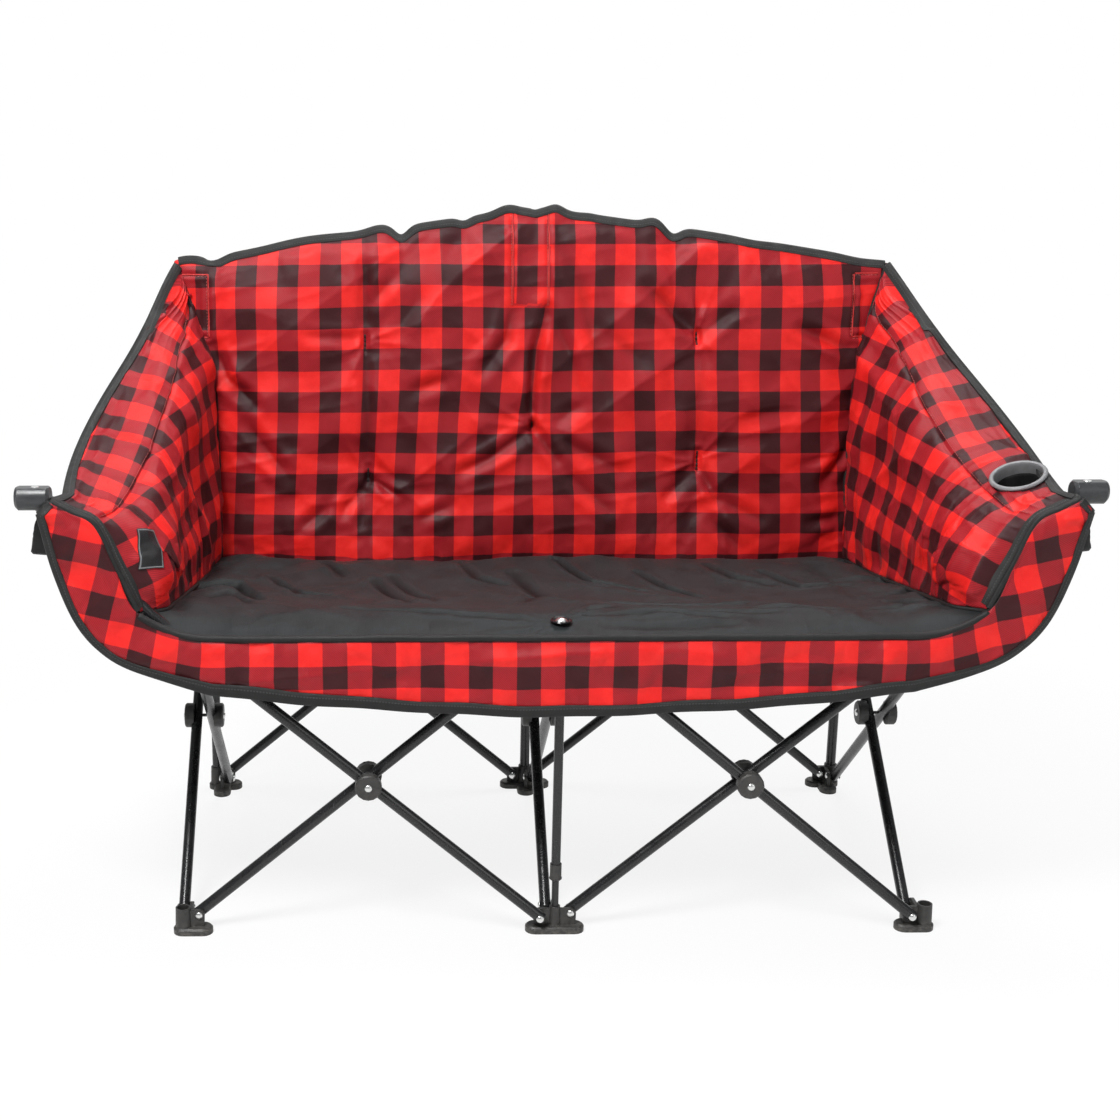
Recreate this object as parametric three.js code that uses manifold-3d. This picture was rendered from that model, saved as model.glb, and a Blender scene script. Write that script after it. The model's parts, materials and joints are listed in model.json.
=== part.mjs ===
// Folding camping loveseat with a padded, checked cover.
// Six plastic feet and six top joints are tied by seven steel scissors, so the whole frame
// folds to a bundle. The cover hangs from three rear posts and two arm ends.
// Millimetres, +Z up. X runs along the seat, +X to the right of someone facing the chair.
// The chair faces -Y, and the floor is at Z = 0.
import * as THREE from "three";
import { mergeVertices } from "three/addons/utils/BufferGeometryUtils.js";
import Module from "manifold-3d";

const wasm = await Module();
wasm.setup();

// Driving sizes of the scissors: every X has the same pin span and the same rise.
const PIN_SPAN = 478;
const PIN_RISE = 402;
const PIN_HEIGHT = 26;
const PIN_TO_POST_X = 22;
const PIN_TO_ROW_Y = 25;
const SIDE_PLATE_INSET = 10;

// Round steel tube and its rivets.
const TUBE_D = 16;
const TUBE_WALL = 1.2;
const TUBE_TAIL = 4;
const TUBE_SIDES = 12;
const RIVET_D = 5;
const RIVET_HEAD_D = 10;
const RIVET_HEAD_HEIGHT = 2.2;
const RIVET_SIDES = 8;
const HOLE_CLEARANCE = 0.4;
const SEAT_CLEARANCE = 0.3;
const SIDE_CLEARANCE = 0.5;
const CUT_OVERRUN = 1;

// Ear plates that the tubes are riveted to, and the saddle discs at each crossing.
const PLATE_T = 5;
const EAR_RADIUS = 8;
const DISC_D = 37;
const DISC_T = 14;
const DISC_GRIP = 4;
const DISC_CHAMFER = 2;
const DISC_SIDES = 16;

// Feet.
const PAD_RADIUS = 14;
const PAD_REACH = 17;
const PAD_HEIGHT = 10;
const PAD_BEVEL = 2.5;
const SOCKET_HEIGHT = 38;
const SOCKET_WALL = 2.2;
const SOCKET_FLOOR = 8;
const SOCKET_SIDES = 16;

// Top joints that ride up the rear posts, and the matching front ones.
const SLIDER_HEIGHT = 30;
const SLIDER_WALL = 2.4;
const SLIDER_CLEARANCE = 0.5;
const TOP_EAR_DEPTH = 18;

// Rear posts and the telescoping post in the middle of the front.
const CORNER_POST_TOP = 884;
const CENTRE_POST_TOP = 962;
const ROD_D = 10;
const SLEEVE_D = 13;
const SLEEVE_WALL = 1.1;
const SLEEVE_BOTTOM = 86;
const SLEEVE_RISE = 8;
const COLLAR_D = 18;
const COLLAR_HEIGHT = 24;
const COLLAR_LIP = 1.6;
const ROD_TOP = 420;

// Arm tubes run on past the front top joints and bend up a little.
const ARM_STRAIGHT = 60;
const ARM_BEND_RADIUS = 90;
const ARM_BEND_DEG = 8;
const ARM_RISE_LENGTH = 196;
const STUB_D = 34;
const STUB_LENGTH = 46;
const STUB_CHAMFER = 4;
const STUB_FLAT_DEPTH = 3;
const STUB_OUTREACH = 26;
const NECK_D = 24;
const NECK_LENGTH = 34;
const NECK_GRIP = 22;

// The cover, given by the corners where its panels are sewn together.
const SEW_GAP = 0.8;
const EDGE_T = 6;
const SEAT_T = 15;
const SEAT_FRONT_Z = 446;
const SEAT_FRONT_OUTREACH = 16;
const SEAT_FLAT_INSET = 52;
const SEAT_CORNER_LIFT = 36;
const SEAT_REAR_INSET = 18;
const SEAT_REAR_Z = 411;
const SEAT_OVERHANG = 24.7;
const SEAT_SETBACK = 75;
const SEAT_SAG = 14;
const SEAT_CREASE = 3;
const BACK_T = 17;
const BACK_BOTTOM_Z = 409;
const BACK_CORNER_OUTREACH = 22;
const BACK_CORNER_Z = 884;
const BACK_PEAK_Z = 966;
const BACK_TOP_SETBACK = 19;
const BACK_SEAM_SPACING = 264;
const BACK_SEAM_DEPTH = 5;
const BACK_SEAM_WIDTH = 26;
const BACK_HOLLOW = 10;
const POCKET_TOP_WALL = 2;
const CORNER_POCKET_W = 24;
const CORNER_POCKET_H = 92;
const CENTRE_POCKET_W = 50;
const CENTRE_POCKET_H = 150;
const POCKET_WALL = 2.5;
const ARM_T = 12;
const ARM_CORNER_INSET = 30.9;
const ARM_CORNER_RISE = 6.8;
const ARM_EDGE_BOW = 58;
const RIDGE_INSET = 82.9;
const RIDGE_DROP = 21.2;
const RIDGE_REAR_DROP = 42;
const ARM_SEAM_LIFT = 5.6;
const ARM_BULGE = 6;
const ARM_CORNER_LEAD = 5;
const BAND_T = 6;
const BAND_BOTTOM_Z = 346;
const BAND_BOTTOM_END_Z = 373;
const BAND_TIP_OUTREACH = 2.1;
const BAND_TIP_DROP = 9.2;
const BAND_BELLY_OUTREACH = 118;
const BAND_BELLY_Z = 462;
const SLEEVE_POCKET_D = 27.8;
const SLEEVE_POCKET_LENGTH = 48;
const SLEEVE_POCKET_BELOW_TIP = 28;
const CUP_RING_D = 76;
const CUP_BORE_D = 64;
const CUP_RING_T = 4;
const CUP_DEPTH = 105;
const CUP_WALL = 2;
const CUP_TAPER = 3;
const CUP_STRAIGHTEN = 45;
const CUP_MOUTH = 8;
const CUP_RING_SINK = 4;
const BUTTON_D = 20;
const BUTTON_HEIGHT = 4;
const BUTTON_INSET = 34;
const BUTTON_SETTLE = 0.9;

// Shares of a size: where a curve or a profile turns, and how it bends.
const CUP_ALONG_SHARE = 0.8;
const CUP_ACROSS_SHARE = 0.24;
const BUTTON_RISE_SHARES = [0.4, 0.85];
const BUTTON_RIM_SHARES = [0.96, 0.6];
const DOME_SHOULDER_SHARES = [0.7, 0.75];
const EAR_FOOT_SHARE = 0.9;
const DRAW_IN_SHARE = 0.14;
const BAND_UNDER_SHARES = [0.65, 0.33];
const SAMPLE_SHARE = 1e-3;
const BACK_FLARE_POWER = 3;
const BACK_LEAN_POWER = 0.8;
const BACK_SLOPE_POWER = 1.15;
const EDGE_CLIMB_POWER = 2;
const RIDGE_CLIMB_POWER = 1.9;
const CORNER_LEAD_POWER = 4;
const SEAT_SIDE_POWER = 4;
const SEAT_FOLDS = 5;
const WELD_GRID = 1e-4;

// How many cells each panel of the cover is drawn with, along it and across it.
const SEAT_GRID = { columns: 20, rows: 9 };
const BACK_GRID = { columns: 22, rows: 9 };
const ARM_GRID = { columns: 14, rows: 8 };
const BAND_GRID = { columns: 12, rows: 2 };

// What follows from the sizes above.
const AXIS_OFFSET = PLATE_T / 2 + SIDE_CLEARANCE + TUBE_D / 2;
const POST_X = PIN_SPAN + 2 * PIN_TO_POST_X;
const ROW_GAP = PIN_SPAN + 2 * PIN_TO_ROW_Y;
const TOP_PIN_Z = PIN_HEIGHT + PIN_RISE;
const LINK_LENGTH = Math.hypot(PIN_SPAN, PIN_RISE);
const OPEN_ANGLE = Math.atan2(PIN_RISE, PIN_SPAN);
const CROSS_Z = PIN_HEIGHT + PIN_RISE / 2;
const FRONT_Y = -ROW_GAP / 2;
const REAR_Y = ROW_GAP / 2;
const SOCKET_BORE = TUBE_D + 2 * SEAT_CLEARANCE;
const DISC_OUT = AXIS_OFFSET + TUBE_D / 2 + DISC_T - DISC_GRIP;
const DISC_IN = DISC_OUT - DISC_T;

// The cover's half widths follow the outer posts.
const SEAT_FRONT_HALF = POST_X + SEAT_FRONT_OUTREACH;
const SEAT_FRONT_FLAT_HALF = POST_X - SEAT_FLAT_INSET;
const SEAT_REAR_HALF = POST_X - SEAT_REAR_INSET;
const BACK_CORNER_X = POST_X + BACK_CORNER_OUTREACH;
const BAND_BELLY_X = POST_X + BAND_BELLY_OUTREACH;

// The tip of an arm tube, beside the right post. The front of the cover's arm follows it.
const ARM_FOOT = new THREE.Vector3(POST_X - PIN_TO_POST_X, FRONT_Y, TOP_PIN_Z);
const ARM_TIP = armPoints(ARM_FOOT, new THREE.Vector3(1, 0, 0)).pop();
const ARM_FRONT_X = ARM_TIP.x - ARM_CORNER_INSET;
const ARM_FRONT_Z = ARM_TIP.z + ARM_CORNER_RISE;
const RIDGE_FRONT_X = ARM_TIP.x - RIDGE_INSET;
const RIDGE_FRONT_Z = ARM_TIP.z - RIDGE_DROP;
const BAND_TIP_X = ARM_TIP.x + BAND_TIP_OUTREACH;
const BAND_TIP_Z = ARM_TIP.z - BAND_TIP_DROP;

// Finishes, as plain standard materials.
function finish(color, roughness, metalness) {
  return new THREE.MeshStandardMaterial({ color, roughness, metalness });
}
const TUBE_BLACK = finish(0x151516, 0.32, 0.5);
const JOINT_PLASTIC = finish(0x3c3b3a, 0.55, 0);
const CHECK_CLOTH = finish(0xa02127, 0.85, 0);
const SEAT_CLOTH = finish(0x3a3a3b, 0.9, 0);
const BLACK_CLOTH = finish(0x232322, 0.9, 0);
const GREY_PLASTIC = finish(0x77777a, 0.45, 0);

// Solids: each geometry becomes a closed manifold, and comes back as a plain mesh.
function solid(geometry) {
  const bare = geometry.index ? geometry.toNonIndexed() : geometry.clone();
  bare.deleteAttribute("normal");
  bare.deleteAttribute("uv");
  const welded = mergeVertices(bare, WELD_GRID);
  return new wasm.Manifold(new wasm.Mesh({
    numProp: 3,
    vertProperties: new Float32Array(welded.attributes.position.array),
    triVerts: new Uint32Array(welded.index.array),
  }));
}

function geometryOf(manifold) {
  const raw = manifold.getMesh();
  const geometry = new THREE.BufferGeometry();
  geometry.setAttribute("position", new THREE.BufferAttribute(raw.vertProperties, 3));
  geometry.setIndex(new THREE.BufferAttribute(raw.triVerts, 1));
  return geometry;
}

function placed(geometry, matrix) {
  const copy = geometry.clone();
  copy.applyMatrix4(matrix);
  return copy;
}

function at(x, y, z) {
  return new THREE.Matrix4().makeTranslation(x, y, z);
}

function join(first, ...others) {
  return others.reduce((sum, part) => sum.add(part), first);
}

function cut(body, ...tools) {
  return tools.reduce((rest, tool) => rest.subtract(tool), body);
}

// The frame that carries a profile drawn in its own XY plane, extruded along its own Z.
function frameAlong(origin, along, up) {
  const z = along.clone().normalize();
  const x = new THREE.Vector3().crossVectors(up, z).normalize();
  const y = new THREE.Vector3().crossVectors(z, x);
  return new THREE.Matrix4().makeBasis(x, y, z).setPosition(origin);
}

// A cylinder from one point to another, with its flats square to the line.
function bar(from, to, radius, sides) {
  const along = new THREE.Vector3().subVectors(to, from);
  const geometry = new THREE.CylinderGeometry(radius, radius, along.length(), sides);
  const turn = new THREE.Quaternion().setFromUnitVectors(
    new THREE.Vector3(0, 1, 0), along.clone().normalize());
  const middle = new THREE.Vector3().addVectors(from, to).multiplyScalar(0.5);
  return placed(geometry, new THREE.Matrix4().compose(middle, turn, new THREE.Vector3(1, 1, 1)));
}

function ringShape(outer, inner) {
  const shape = new THREE.Shape();
  shape.absarc(0, 0, outer, 0, 2 * Math.PI, false);
  const hole = new THREE.Path();
  hole.absarc(0, 0, inner, 0, 2 * Math.PI, true);
  shape.holes.push(hole);
  return shape;
}

// A path of straight runs and one optional bend, for tubes.
class TubePath extends THREE.CurvePath {
  static through(points) {
    const path = new TubePath();
    for (let i = 1; i < points.length; i += 1) {
      path.add(new THREE.LineCurve3(points[i - 1], points[i]));
    }
    return path;
  }
}

// Directions in the plane of a scissor: "along" is the level direction, out of the foot.
function inPlane(along, angle) {
  const level = along.clone().multiplyScalar(Math.cos(angle));
  return level.add(new THREE.Vector3(0, 0, Math.sin(angle)));
}

// A straight hollow tube between two centres, as an open ring extruded along the line.
function straightTube(from, to, outerRadius, wall, sides) {
  const along = new THREE.Vector3().subVectors(to, from);
  const ring = ringShape(outerRadius, outerRadius - wall);
  const body = new THREE.ExtrudeGeometry(ring, {
    depth: along.length(), bevelEnabled: false, curveSegments: sides / 2,
  });
  const up = Math.abs(along.z) > Math.abs(along.x) + Math.abs(along.y)
    ? new THREE.Vector3(0, 1, 0) : new THREE.Vector3(0, 0, 1);
  return placed(body, frameAlong(from, along, up));
}

// The centre line of an arm tube past the top pin: straight, a short bend, then straight.
function armPoints(pin, along) {
  const bend = THREE.MathUtils.degToRad(ARM_BEND_DEG);
  const points = [pin.clone().addScaledVector(inPlane(along, OPEN_ANGLE), ARM_STRAIGHT)];
  const steps = 2;
  for (let i = 1; i <= steps; i += 1) {
    const angle = OPEN_ANGLE + bend * (i - 1 / 2) / steps;
    const chord = ARM_BEND_RADIUS * bend / steps;
    points.push(points[points.length - 1].clone().addScaledVector(inPlane(along, angle), chord));
  }
  const last = points[points.length - 1];
  points.push(last.clone().addScaledVector(inPlane(along, OPEN_ANGLE + bend), ARM_RISE_LENGTH));
  return points;
}

// One scissor tube. It starts at a foot pin and runs past the crossing to a top pin.
// "along" is the level direction it leans in, and "axis" the direction of its rivets.
function scissorTube(footPin, along, axis, isArm) {
  const lean = inPlane(along, OPEN_ANGLE);
  const start = footPin.clone().addScaledVector(lean, -TUBE_TAIL);
  const topPin = footPin.clone().addScaledVector(lean, LINK_LENGTH);
  let body;
  if (isArm) {
    const path = TubePath.through([start, ...armPoints(topPin, along)]);
    const ring = ringShape(TUBE_D / 2, TUBE_D / 2 - TUBE_WALL);
    body = solid(sweptTube(path, ring));
  } else {
    const end = topPin.clone().addScaledVector(lean, TUBE_TAIL);
    body = solid(straightTube(start, end, TUBE_D / 2, TUBE_WALL, TUBE_SIDES));
  }
  const reach = axis.clone().multiplyScalar(TUBE_D / 2 + CUT_OVERRUN);
  const radius = RIVET_D / 2 + HOLE_CLEARANCE;
  const holes = [0, LINK_LENGTH / 2, LINK_LENGTH].map((distance) => {
    const centre = footPin.clone().addScaledVector(lean, distance);
    return solid(bar(centre.clone().sub(reach), centre.clone().add(reach), radius, RIVET_SIDES));
  });
  return cut(body, ...holes);
}

// A ring swept along straight runs: its sections are mitred at each bend.
function sweptTube(path, ring) {
  const runs = path.curves;
  const points = [runs[0].v1, ...runs.map((run) => run.v2)];
  const outer = ring.getPoints(TUBE_SIDES / 4).slice(0, TUBE_SIDES);
  const inner = ring.holes[0].getPoints(TUBE_SIDES / 4).slice(0, TUBE_SIDES).reverse();
  const sections = points.map((point, i) => {
    const before = runs[Math.max(i - 1, 0)];
    const after = runs[Math.min(i, runs.length - 1)];
    const into = new THREE.Vector3().subVectors(before.v2, before.v1).normalize();
    const outOf = new THREE.Vector3().subVectors(after.v2, after.v1).normalize();
    const along = into.add(outOf).normalize();
    const matrix = frameAlong(point, along, sideAxis(runs[0]));
    const lift = (p) => new THREE.Vector3(p.x, p.y, 0).applyMatrix4(matrix);
    return { outer: outer.map(lift), inner: inner.map(lift) };
  });
  return skinOfSections(sections);
}

// The level direction square to a tube's first run, which stays square to every run.
function sideAxis(run) {
  const along = new THREE.Vector3().subVectors(run.v2, run.v1);
  return new THREE.Vector3(0, 0, 1).cross(along).normalize();
}

// Joins rings of outer and inner points into one closed wall.
function skinOfSections(sections) {
  const positions = [];
  const quad = (a, b, c, d) => positions.push(...[a, b, c, a, c, d].flatMap((p) => [p.x, p.y, p.z]));
  const count = sections[0].outer.length;
  for (let i = 0; i < count; i += 1) {
    const j = (i + 1) % count;
    for (let s = 1; s < sections.length; s += 1) {
      const low = sections[s - 1];
      const high = sections[s];
      quad(low.outer[i], low.outer[j], high.outer[j], high.outer[i]);
      quad(low.inner[j], low.inner[i], high.inner[i], high.inner[j]);
    }
    const first = sections[0];
    const last = sections[sections.length - 1];
    quad(first.outer[j], first.outer[i], first.inner[i], first.inner[j]);
    quad(last.outer[i], last.outer[j], last.inner[j], last.inner[i]);
  }
  const geometry = new THREE.BufferGeometry();
  geometry.setAttribute("position", new THREE.Float32BufferAttribute(positions, 3));
  return geometry;
}

// A rivet from the back of an ear plate, through the tube, to a domed head beyond it.
function rivet(platePoint, side) {
  const back = platePoint.clone().addScaledVector(side, -PLATE_T / 2);
  const crown = platePoint.clone().addScaledVector(side, AXIS_OFFSET + TUBE_D / 2 + SEAT_CLEARANCE);
  return join(
    solid(bar(back, crown.clone().addScaledVector(side, RIVET_HEAD_HEIGHT / 2), RIVET_D / 2, RIVET_SIDES)),
    solid(domeHead(crown, side)),
  );
}

function domeHead(point, side) {
  const r = RIVET_HEAD_D / 2;
  const h = RIVET_HEAD_HEIGHT;
  const [across, rise] = DOME_SHOULDER_SHARES;
  const profile = [[0, 0], [r, 0], [r * across, h * rise], [0, h]];
  const dome = new THREE.LatheGeometry(profile.map(([x, y]) => new THREE.Vector2(x, y)), RIVET_SIDES);
  const turn = new THREE.Quaternion().setFromUnitVectors(new THREE.Vector3(0, 1, 0), side);
  return placed(dome, new THREE.Matrix4().compose(point, turn, new THREE.Vector3(1, 1, 1)));
}

// A plate standing in a vertical plane: its outline is drawn in (level, height).
function uprightPlate(shape, origin, along, thickness) {
  const body = new THREE.ExtrudeGeometry(shape, {
    depth: thickness, bevelEnabled: false, curveSegments: 4,
  });
  const up = new THREE.Vector3(0, 0, 1);
  const normal = new THREE.Vector3().crossVectors(along, up);
  const matrix = new THREE.Matrix4().makeBasis(along, up, normal);
  matrix.setPosition(origin.clone().addScaledVector(normal, -thickness / 2));
  return placed(body, matrix);
}

// An ear: a tongue from under the joint's middle out to a round end about the pin.
function earShape(reach, pinZ, bottom, top) {
  const shape = new THREE.Shape();
  shape.moveTo(0, bottom);
  shape.lineTo(reach + EAR_RADIUS * EAR_FOOT_SHARE, bottom);
  shape.lineTo(reach + EAR_RADIUS, pinZ);
  shape.absarc(reach, pinZ, EAR_RADIUS, 0, Math.PI / 2, false);
  shape.lineTo(0, top);
  return shape;
}

// A flat rounded tongue on the floor, from the post socket out past a pin.
function toe(centre, along, reach) {
  const shape = new THREE.Shape();
  const radius = PAD_RADIUS - PAD_BEVEL;
  shape.absarc(0, 0, radius, Math.PI / 2, 3 * Math.PI / 2, false);
  shape.absarc(reach - radius, 0, radius, -Math.PI / 2, Math.PI / 2, false);
  const body = new THREE.ExtrudeGeometry(shape, {
    depth: PAD_HEIGHT - PAD_BEVEL, bevelEnabled: true, bevelThickness: PAD_BEVEL,
    bevelSize: PAD_BEVEL, bevelSegments: 1, curveSegments: 4,
  });
  const across = new THREE.Vector3(0, 0, 1).cross(along);
  const matrix = new THREE.Matrix4().makeBasis(along, across, new THREE.Vector3(0, 0, 1));
  matrix.setPosition(centre.x, centre.y, 0);
  const tongue = solid(placed(body, matrix));
  const floor = new THREE.BoxGeometry(4 * reach + POST_X, 4 * reach + POST_X, PAD_BEVEL);
  return cut(tongue, solid(placed(floor, at(centre.x, centre.y, -PAD_BEVEL / 2))));
}

// A foot at the bottom of a post. arms: the level directions its tubes lean in.
// Each arm gives its direction, how far out its pin is, and the side its tube lies on.
function foot(centre, arms, boreD, socketD) {
  const parts = [];
  const socket = new THREE.CylinderGeometry(
    socketD / 2, socketD / 2 + SOCKET_WALL / 2, SOCKET_HEIGHT, SOCKET_SIDES);
  socket.rotateX(Math.PI / 2);
  parts.push(solid(placed(socket, at(centre.x, centre.y, SOCKET_HEIGHT / 2))));
  for (const arm of arms) {
    const base = new THREE.Vector3(centre.x + arm.plateX, centre.y, 0);
    parts.push(toe(base, arm.along, arm.reach + PAD_REACH));
    const outline = earShape(arm.reach, PIN_HEIGHT, CUT_OVERRUN, PIN_HEIGHT + EAR_RADIUS);
    parts.push(solid(uprightPlate(outline, base, arm.along, PLATE_T)));
    const pin = base.clone().addScaledVector(arm.along, arm.reach).setZ(PIN_HEIGHT);
    parts.push(rivet(pin, arm.side));
  }
  const boreFrom = new THREE.Vector3(centre.x, centre.y, SOCKET_FLOOR);
  const boreTo = new THREE.Vector3(centre.x, centre.y, SOCKET_HEIGHT + CUT_OVERRUN);
  return cut(join(...parts), solid(bar(boreFrom, boreTo, boreD / 2, SOCKET_SIDES)));
}

// A top joint: ears hang from a sleeve round a post, or from a bare knuckle.
function topJoint(centre, arms, boreD, outerD) {
  const low = TOP_PIN_Z - SLIDER_HEIGHT / 2;
  const high = TOP_PIN_Z + EAR_RADIUS;
  const parts = [];
  if (boreD > 0) {
    const from = new THREE.Vector3(centre.x, centre.y, low);
    parts.push(solid(bar(from, from.clone().setZ(high), outerD / 2, SOCKET_SIDES)));
  }
  for (const arm of arms) {
    const base = new THREE.Vector3(centre.x + arm.plateX, centre.y, 0);
    const outline = earShape(arm.reach, TOP_PIN_Z, TOP_PIN_Z - TOP_EAR_DEPTH / 2, high);
    parts.push(solid(uprightPlate(outline, base, arm.along, PLATE_T)));
    const pin = base.clone().addScaledVector(arm.along, arm.reach).setZ(TOP_PIN_Z);
    parts.push(rivet(pin, arm.side));
  }
  const body = join(...parts);
  if (boreD === 0) {
    return body;
  }
  const boreFrom = new THREE.Vector3(centre.x, centre.y, low - CUT_OVERRUN);
  const boreTo = new THREE.Vector3(centre.x, centre.y, high + CUT_OVERRUN);
  return cut(body, solid(bar(boreFrom, boreTo, boreD / 2, SOCKET_SIDES)));
}

// A saddle disc outside one tube of a crossing. The first disc carries the rivet.
function hubDisc(centre, side, tubeAlong, carriesRivet) {
  const r = DISC_D / 2;
  const profile = [[0, 0], [r, 0], [r, DISC_T - DISC_CHAMFER], [r - DISC_CHAMFER, DISC_T], [0, DISC_T]];
  const blank = new THREE.LatheGeometry(profile.map(([x, y]) => new THREE.Vector2(x, y)), DISC_SIDES);
  const turn = new THREE.Quaternion().setFromUnitVectors(new THREE.Vector3(0, 1, 0), side);
  const seat = centre.clone().addScaledVector(side, DISC_IN);
  const disc = solid(placed(blank, new THREE.Matrix4().compose(seat, turn, new THREE.Vector3(1, 1, 1))));
  const axis = centre.clone().addScaledVector(side, AXIS_OFFSET);
  const half = tubeAlong.clone().multiplyScalar(DISC_D);
  const groove = solid(bar(axis.clone().sub(half), axis.clone().add(half),
    TUBE_D / 2 + SEAT_CLEARANCE, TUBE_SIDES));
  const saddle = cut(disc, groove);
  const through = centre.clone().addScaledVector(side, -DISC_OUT - SEAT_CLEARANCE);
  const face = centre.clone().addScaledVector(side, DISC_OUT);
  if (carriesRivet) {
    const head = new THREE.Vector3().copy(side).negate();
    return join(
      saddle,
      solid(bar(through, face, RIVET_D / 2, RIVET_SIDES)),
      solid(domeHead(through, head)),
      solid(domeHead(face, side)),
    );
  }
  const far = face.clone().addScaledVector(side, CUT_OVERRUN);
  return cut(saddle, solid(bar(centre, far, RIVET_D / 2 + HOLE_CLEARANCE, RIVET_SIDES)));
}

// Named pieces are gathered here, one mesh for each.
const chair = new THREE.Group();

function add(name, shape, material) {
  const geometry = shape instanceof THREE.BufferGeometry ? shape : geometryOf(shape);
  const mesh = new THREE.Mesh(geometry, material);
  mesh.name = name;
  chair.add(mesh);
}

const RIGHT = new THREE.Vector3(1, 0, 0);
const LEFT = new THREE.Vector3(-1, 0, 0);
const BACKWARD = new THREE.Vector3(0, 1, 0);
const FORWARD = new THREE.Vector3(0, -1, 0);

const COLUMNS = [
  { name: "left", x: -POST_X, plateX: SIDE_PLATE_INSET },
  { name: "centre", x: 0, plateX: 0 },
  { name: "right", x: POST_X, plateX: -SIDE_PLATE_INSET },
];
const ROWS = [
  { name: "front", y: FRONT_Y, inward: BACKWARD },
  { name: "rear", y: REAR_Y, inward: FORWARD },
];

// The four scissors that lie along X. The left foot's tube is always the rear one of its pair.
function addLongScissors() {
  for (const row of ROWS) {
    for (const bay of ["left", "right"]) {
      const middle = bay === "left" ? -POST_X / 2 : POST_X / 2;
      const centre = new THREE.Vector3(middle, row.y, CROSS_Z);
      const half = PIN_SPAN / 2;
      const scissor = [
        { foot: "left", x: middle - half, along: RIGHT, side: BACKWARD },
        { foot: "right", x: middle + half, along: LEFT, side: FORWARD },
      ];
      for (const link of scissor) {
        const fromCentre = link.foot !== bay;
        const ends = fromCentre ? "centre_foot" : "corner_foot";
        const isArm = row.name === "front" && fromCentre;
        const footPin = new THREE.Vector3(link.x, row.y, PIN_HEIGHT)
          .addScaledVector(link.side, AXIS_OFFSET);
        add(`${row.name}_${bay}_tube_${ends}`,
          scissorTube(footPin, link.along, link.side, isArm), TUBE_BLACK);
        add(`${row.name}_${bay}_hub_${link.foot === "left" ? "back" : "face"}`,
          hubDisc(centre, link.side, inPlane(link.along, OPEN_ANGLE), link.side === FORWARD),
          JOINT_PLASTIC);
      }
    }
  }
}

// The three scissors that lie along Y. The front foot's tube is always on the left of its pair.
function addSideScissors() {
  for (const column of COLUMNS) {
    const x = column.x + column.plateX;
    const centre = new THREE.Vector3(x, 0, CROSS_Z);
    const scissor = [
      { foot: "front", y: -PIN_SPAN / 2, along: BACKWARD, side: LEFT },
      { foot: "rear", y: PIN_SPAN / 2, along: FORWARD, side: RIGHT },
    ];
    for (const link of scissor) {
      const footPin = new THREE.Vector3(x, link.y, PIN_HEIGHT).addScaledVector(link.side, AXIS_OFFSET);
      add(`${column.name}_side_tube_${link.foot}_foot`,
        scissorTube(footPin, link.along, link.side, false), TUBE_BLACK);
      add(`${column.name}_side_hub_${link.side === LEFT ? "left" : "right"}`,
        hubDisc(centre, link.side, inPlane(link.along, OPEN_ANGLE), link.side === LEFT), JOINT_PLASTIC);
    }
  }
}

// The ears of one foot or top joint. At the top each scissor's tubes have changed sides.
function earsOf(column, row, isTop) {
  const ears = [];
  if (column.x < POST_X) {
    ears.push({ along: RIGHT, reach: PIN_TO_POST_X, plateX: 0, side: isTop ? FORWARD : BACKWARD });
  }
  if (column.x > -POST_X) {
    ears.push({ along: LEFT, reach: PIN_TO_POST_X, plateX: 0, side: isTop ? BACKWARD : FORWARD });
  }
  const frontTube = (row.name === "front") !== isTop;
  ears.push({
    along: row.inward, reach: PIN_TO_ROW_Y, plateX: column.plateX, side: frontTube ? LEFT : RIGHT,
  });
  return ears;
}

function addFeet() {
  for (const row of ROWS) {
    for (const column of COLUMNS) {
      const centre = new THREE.Vector3(column.x, row.y, 0);
      const holdsRod = row.name === "front" && column.name === "centre";
      const bore = holdsRod ? ROD_D + 2 * SEAT_CLEARANCE : SOCKET_BORE;
      add(`${row.name}_${column.name}_foot`,
        foot(centre, earsOf(column, row, false), bore, bore + 2 * SOCKET_WALL), JOINT_PLASTIC);
    }
  }
}

// Rear top joints slide on the posts. The front right one keeps clear of the arm tube:
// its side plate stands outside the tube instead of inside.
function addTopJoints() {
  const sliderBore = TUBE_D + 2 * SLIDER_CLEARANCE;
  for (const column of COLUMNS) {
    add(`rear_${column.name}_slider`,
      topJoint(new THREE.Vector3(column.x, REAR_Y, 0), earsOf(column, ROWS[1], true),
        sliderBore, sliderBore + 2 * SLIDER_WALL), JOINT_PLASTIC);
    const ears = earsOf(column, ROWS[0], true);
    const centre = new THREE.Vector3(column.x, FRONT_Y, 0);
    if (column.name === "centre") {
      const bore = SLEEVE_D + 2 * SEAT_CLEARANCE;
      add("front_centre_top_joint", topJoint(centre, ears, bore, bore + 2 * SOCKET_WALL), JOINT_PLASTIC);
    } else {
      add(`front_${column.name}_top_joint`, cornerTopJoint(column, ears), JOINT_PLASTIC);
    }
  }
}

function cornerTopJoint(column, ears) {
  const [level, side] = ears;
  const outward = column.name === "right";
  const plateX = outward ? column.plateX + 2 * AXIS_OFFSET : column.plateX;
  const knuckleX = column.x + plateX;
  const pinX = column.x + level.along.x * level.reach;
  const tongue = Math.abs(pinX - knuckleX);
  const shifted = [
    { ...level, reach: tongue },
    { ...side, side: outward ? LEFT : side.side, plateX: 0 },
  ];
  return topJoint(new THREE.Vector3(knuckleX, FRONT_Y, 0), shifted, 0, 0);
}

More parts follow.
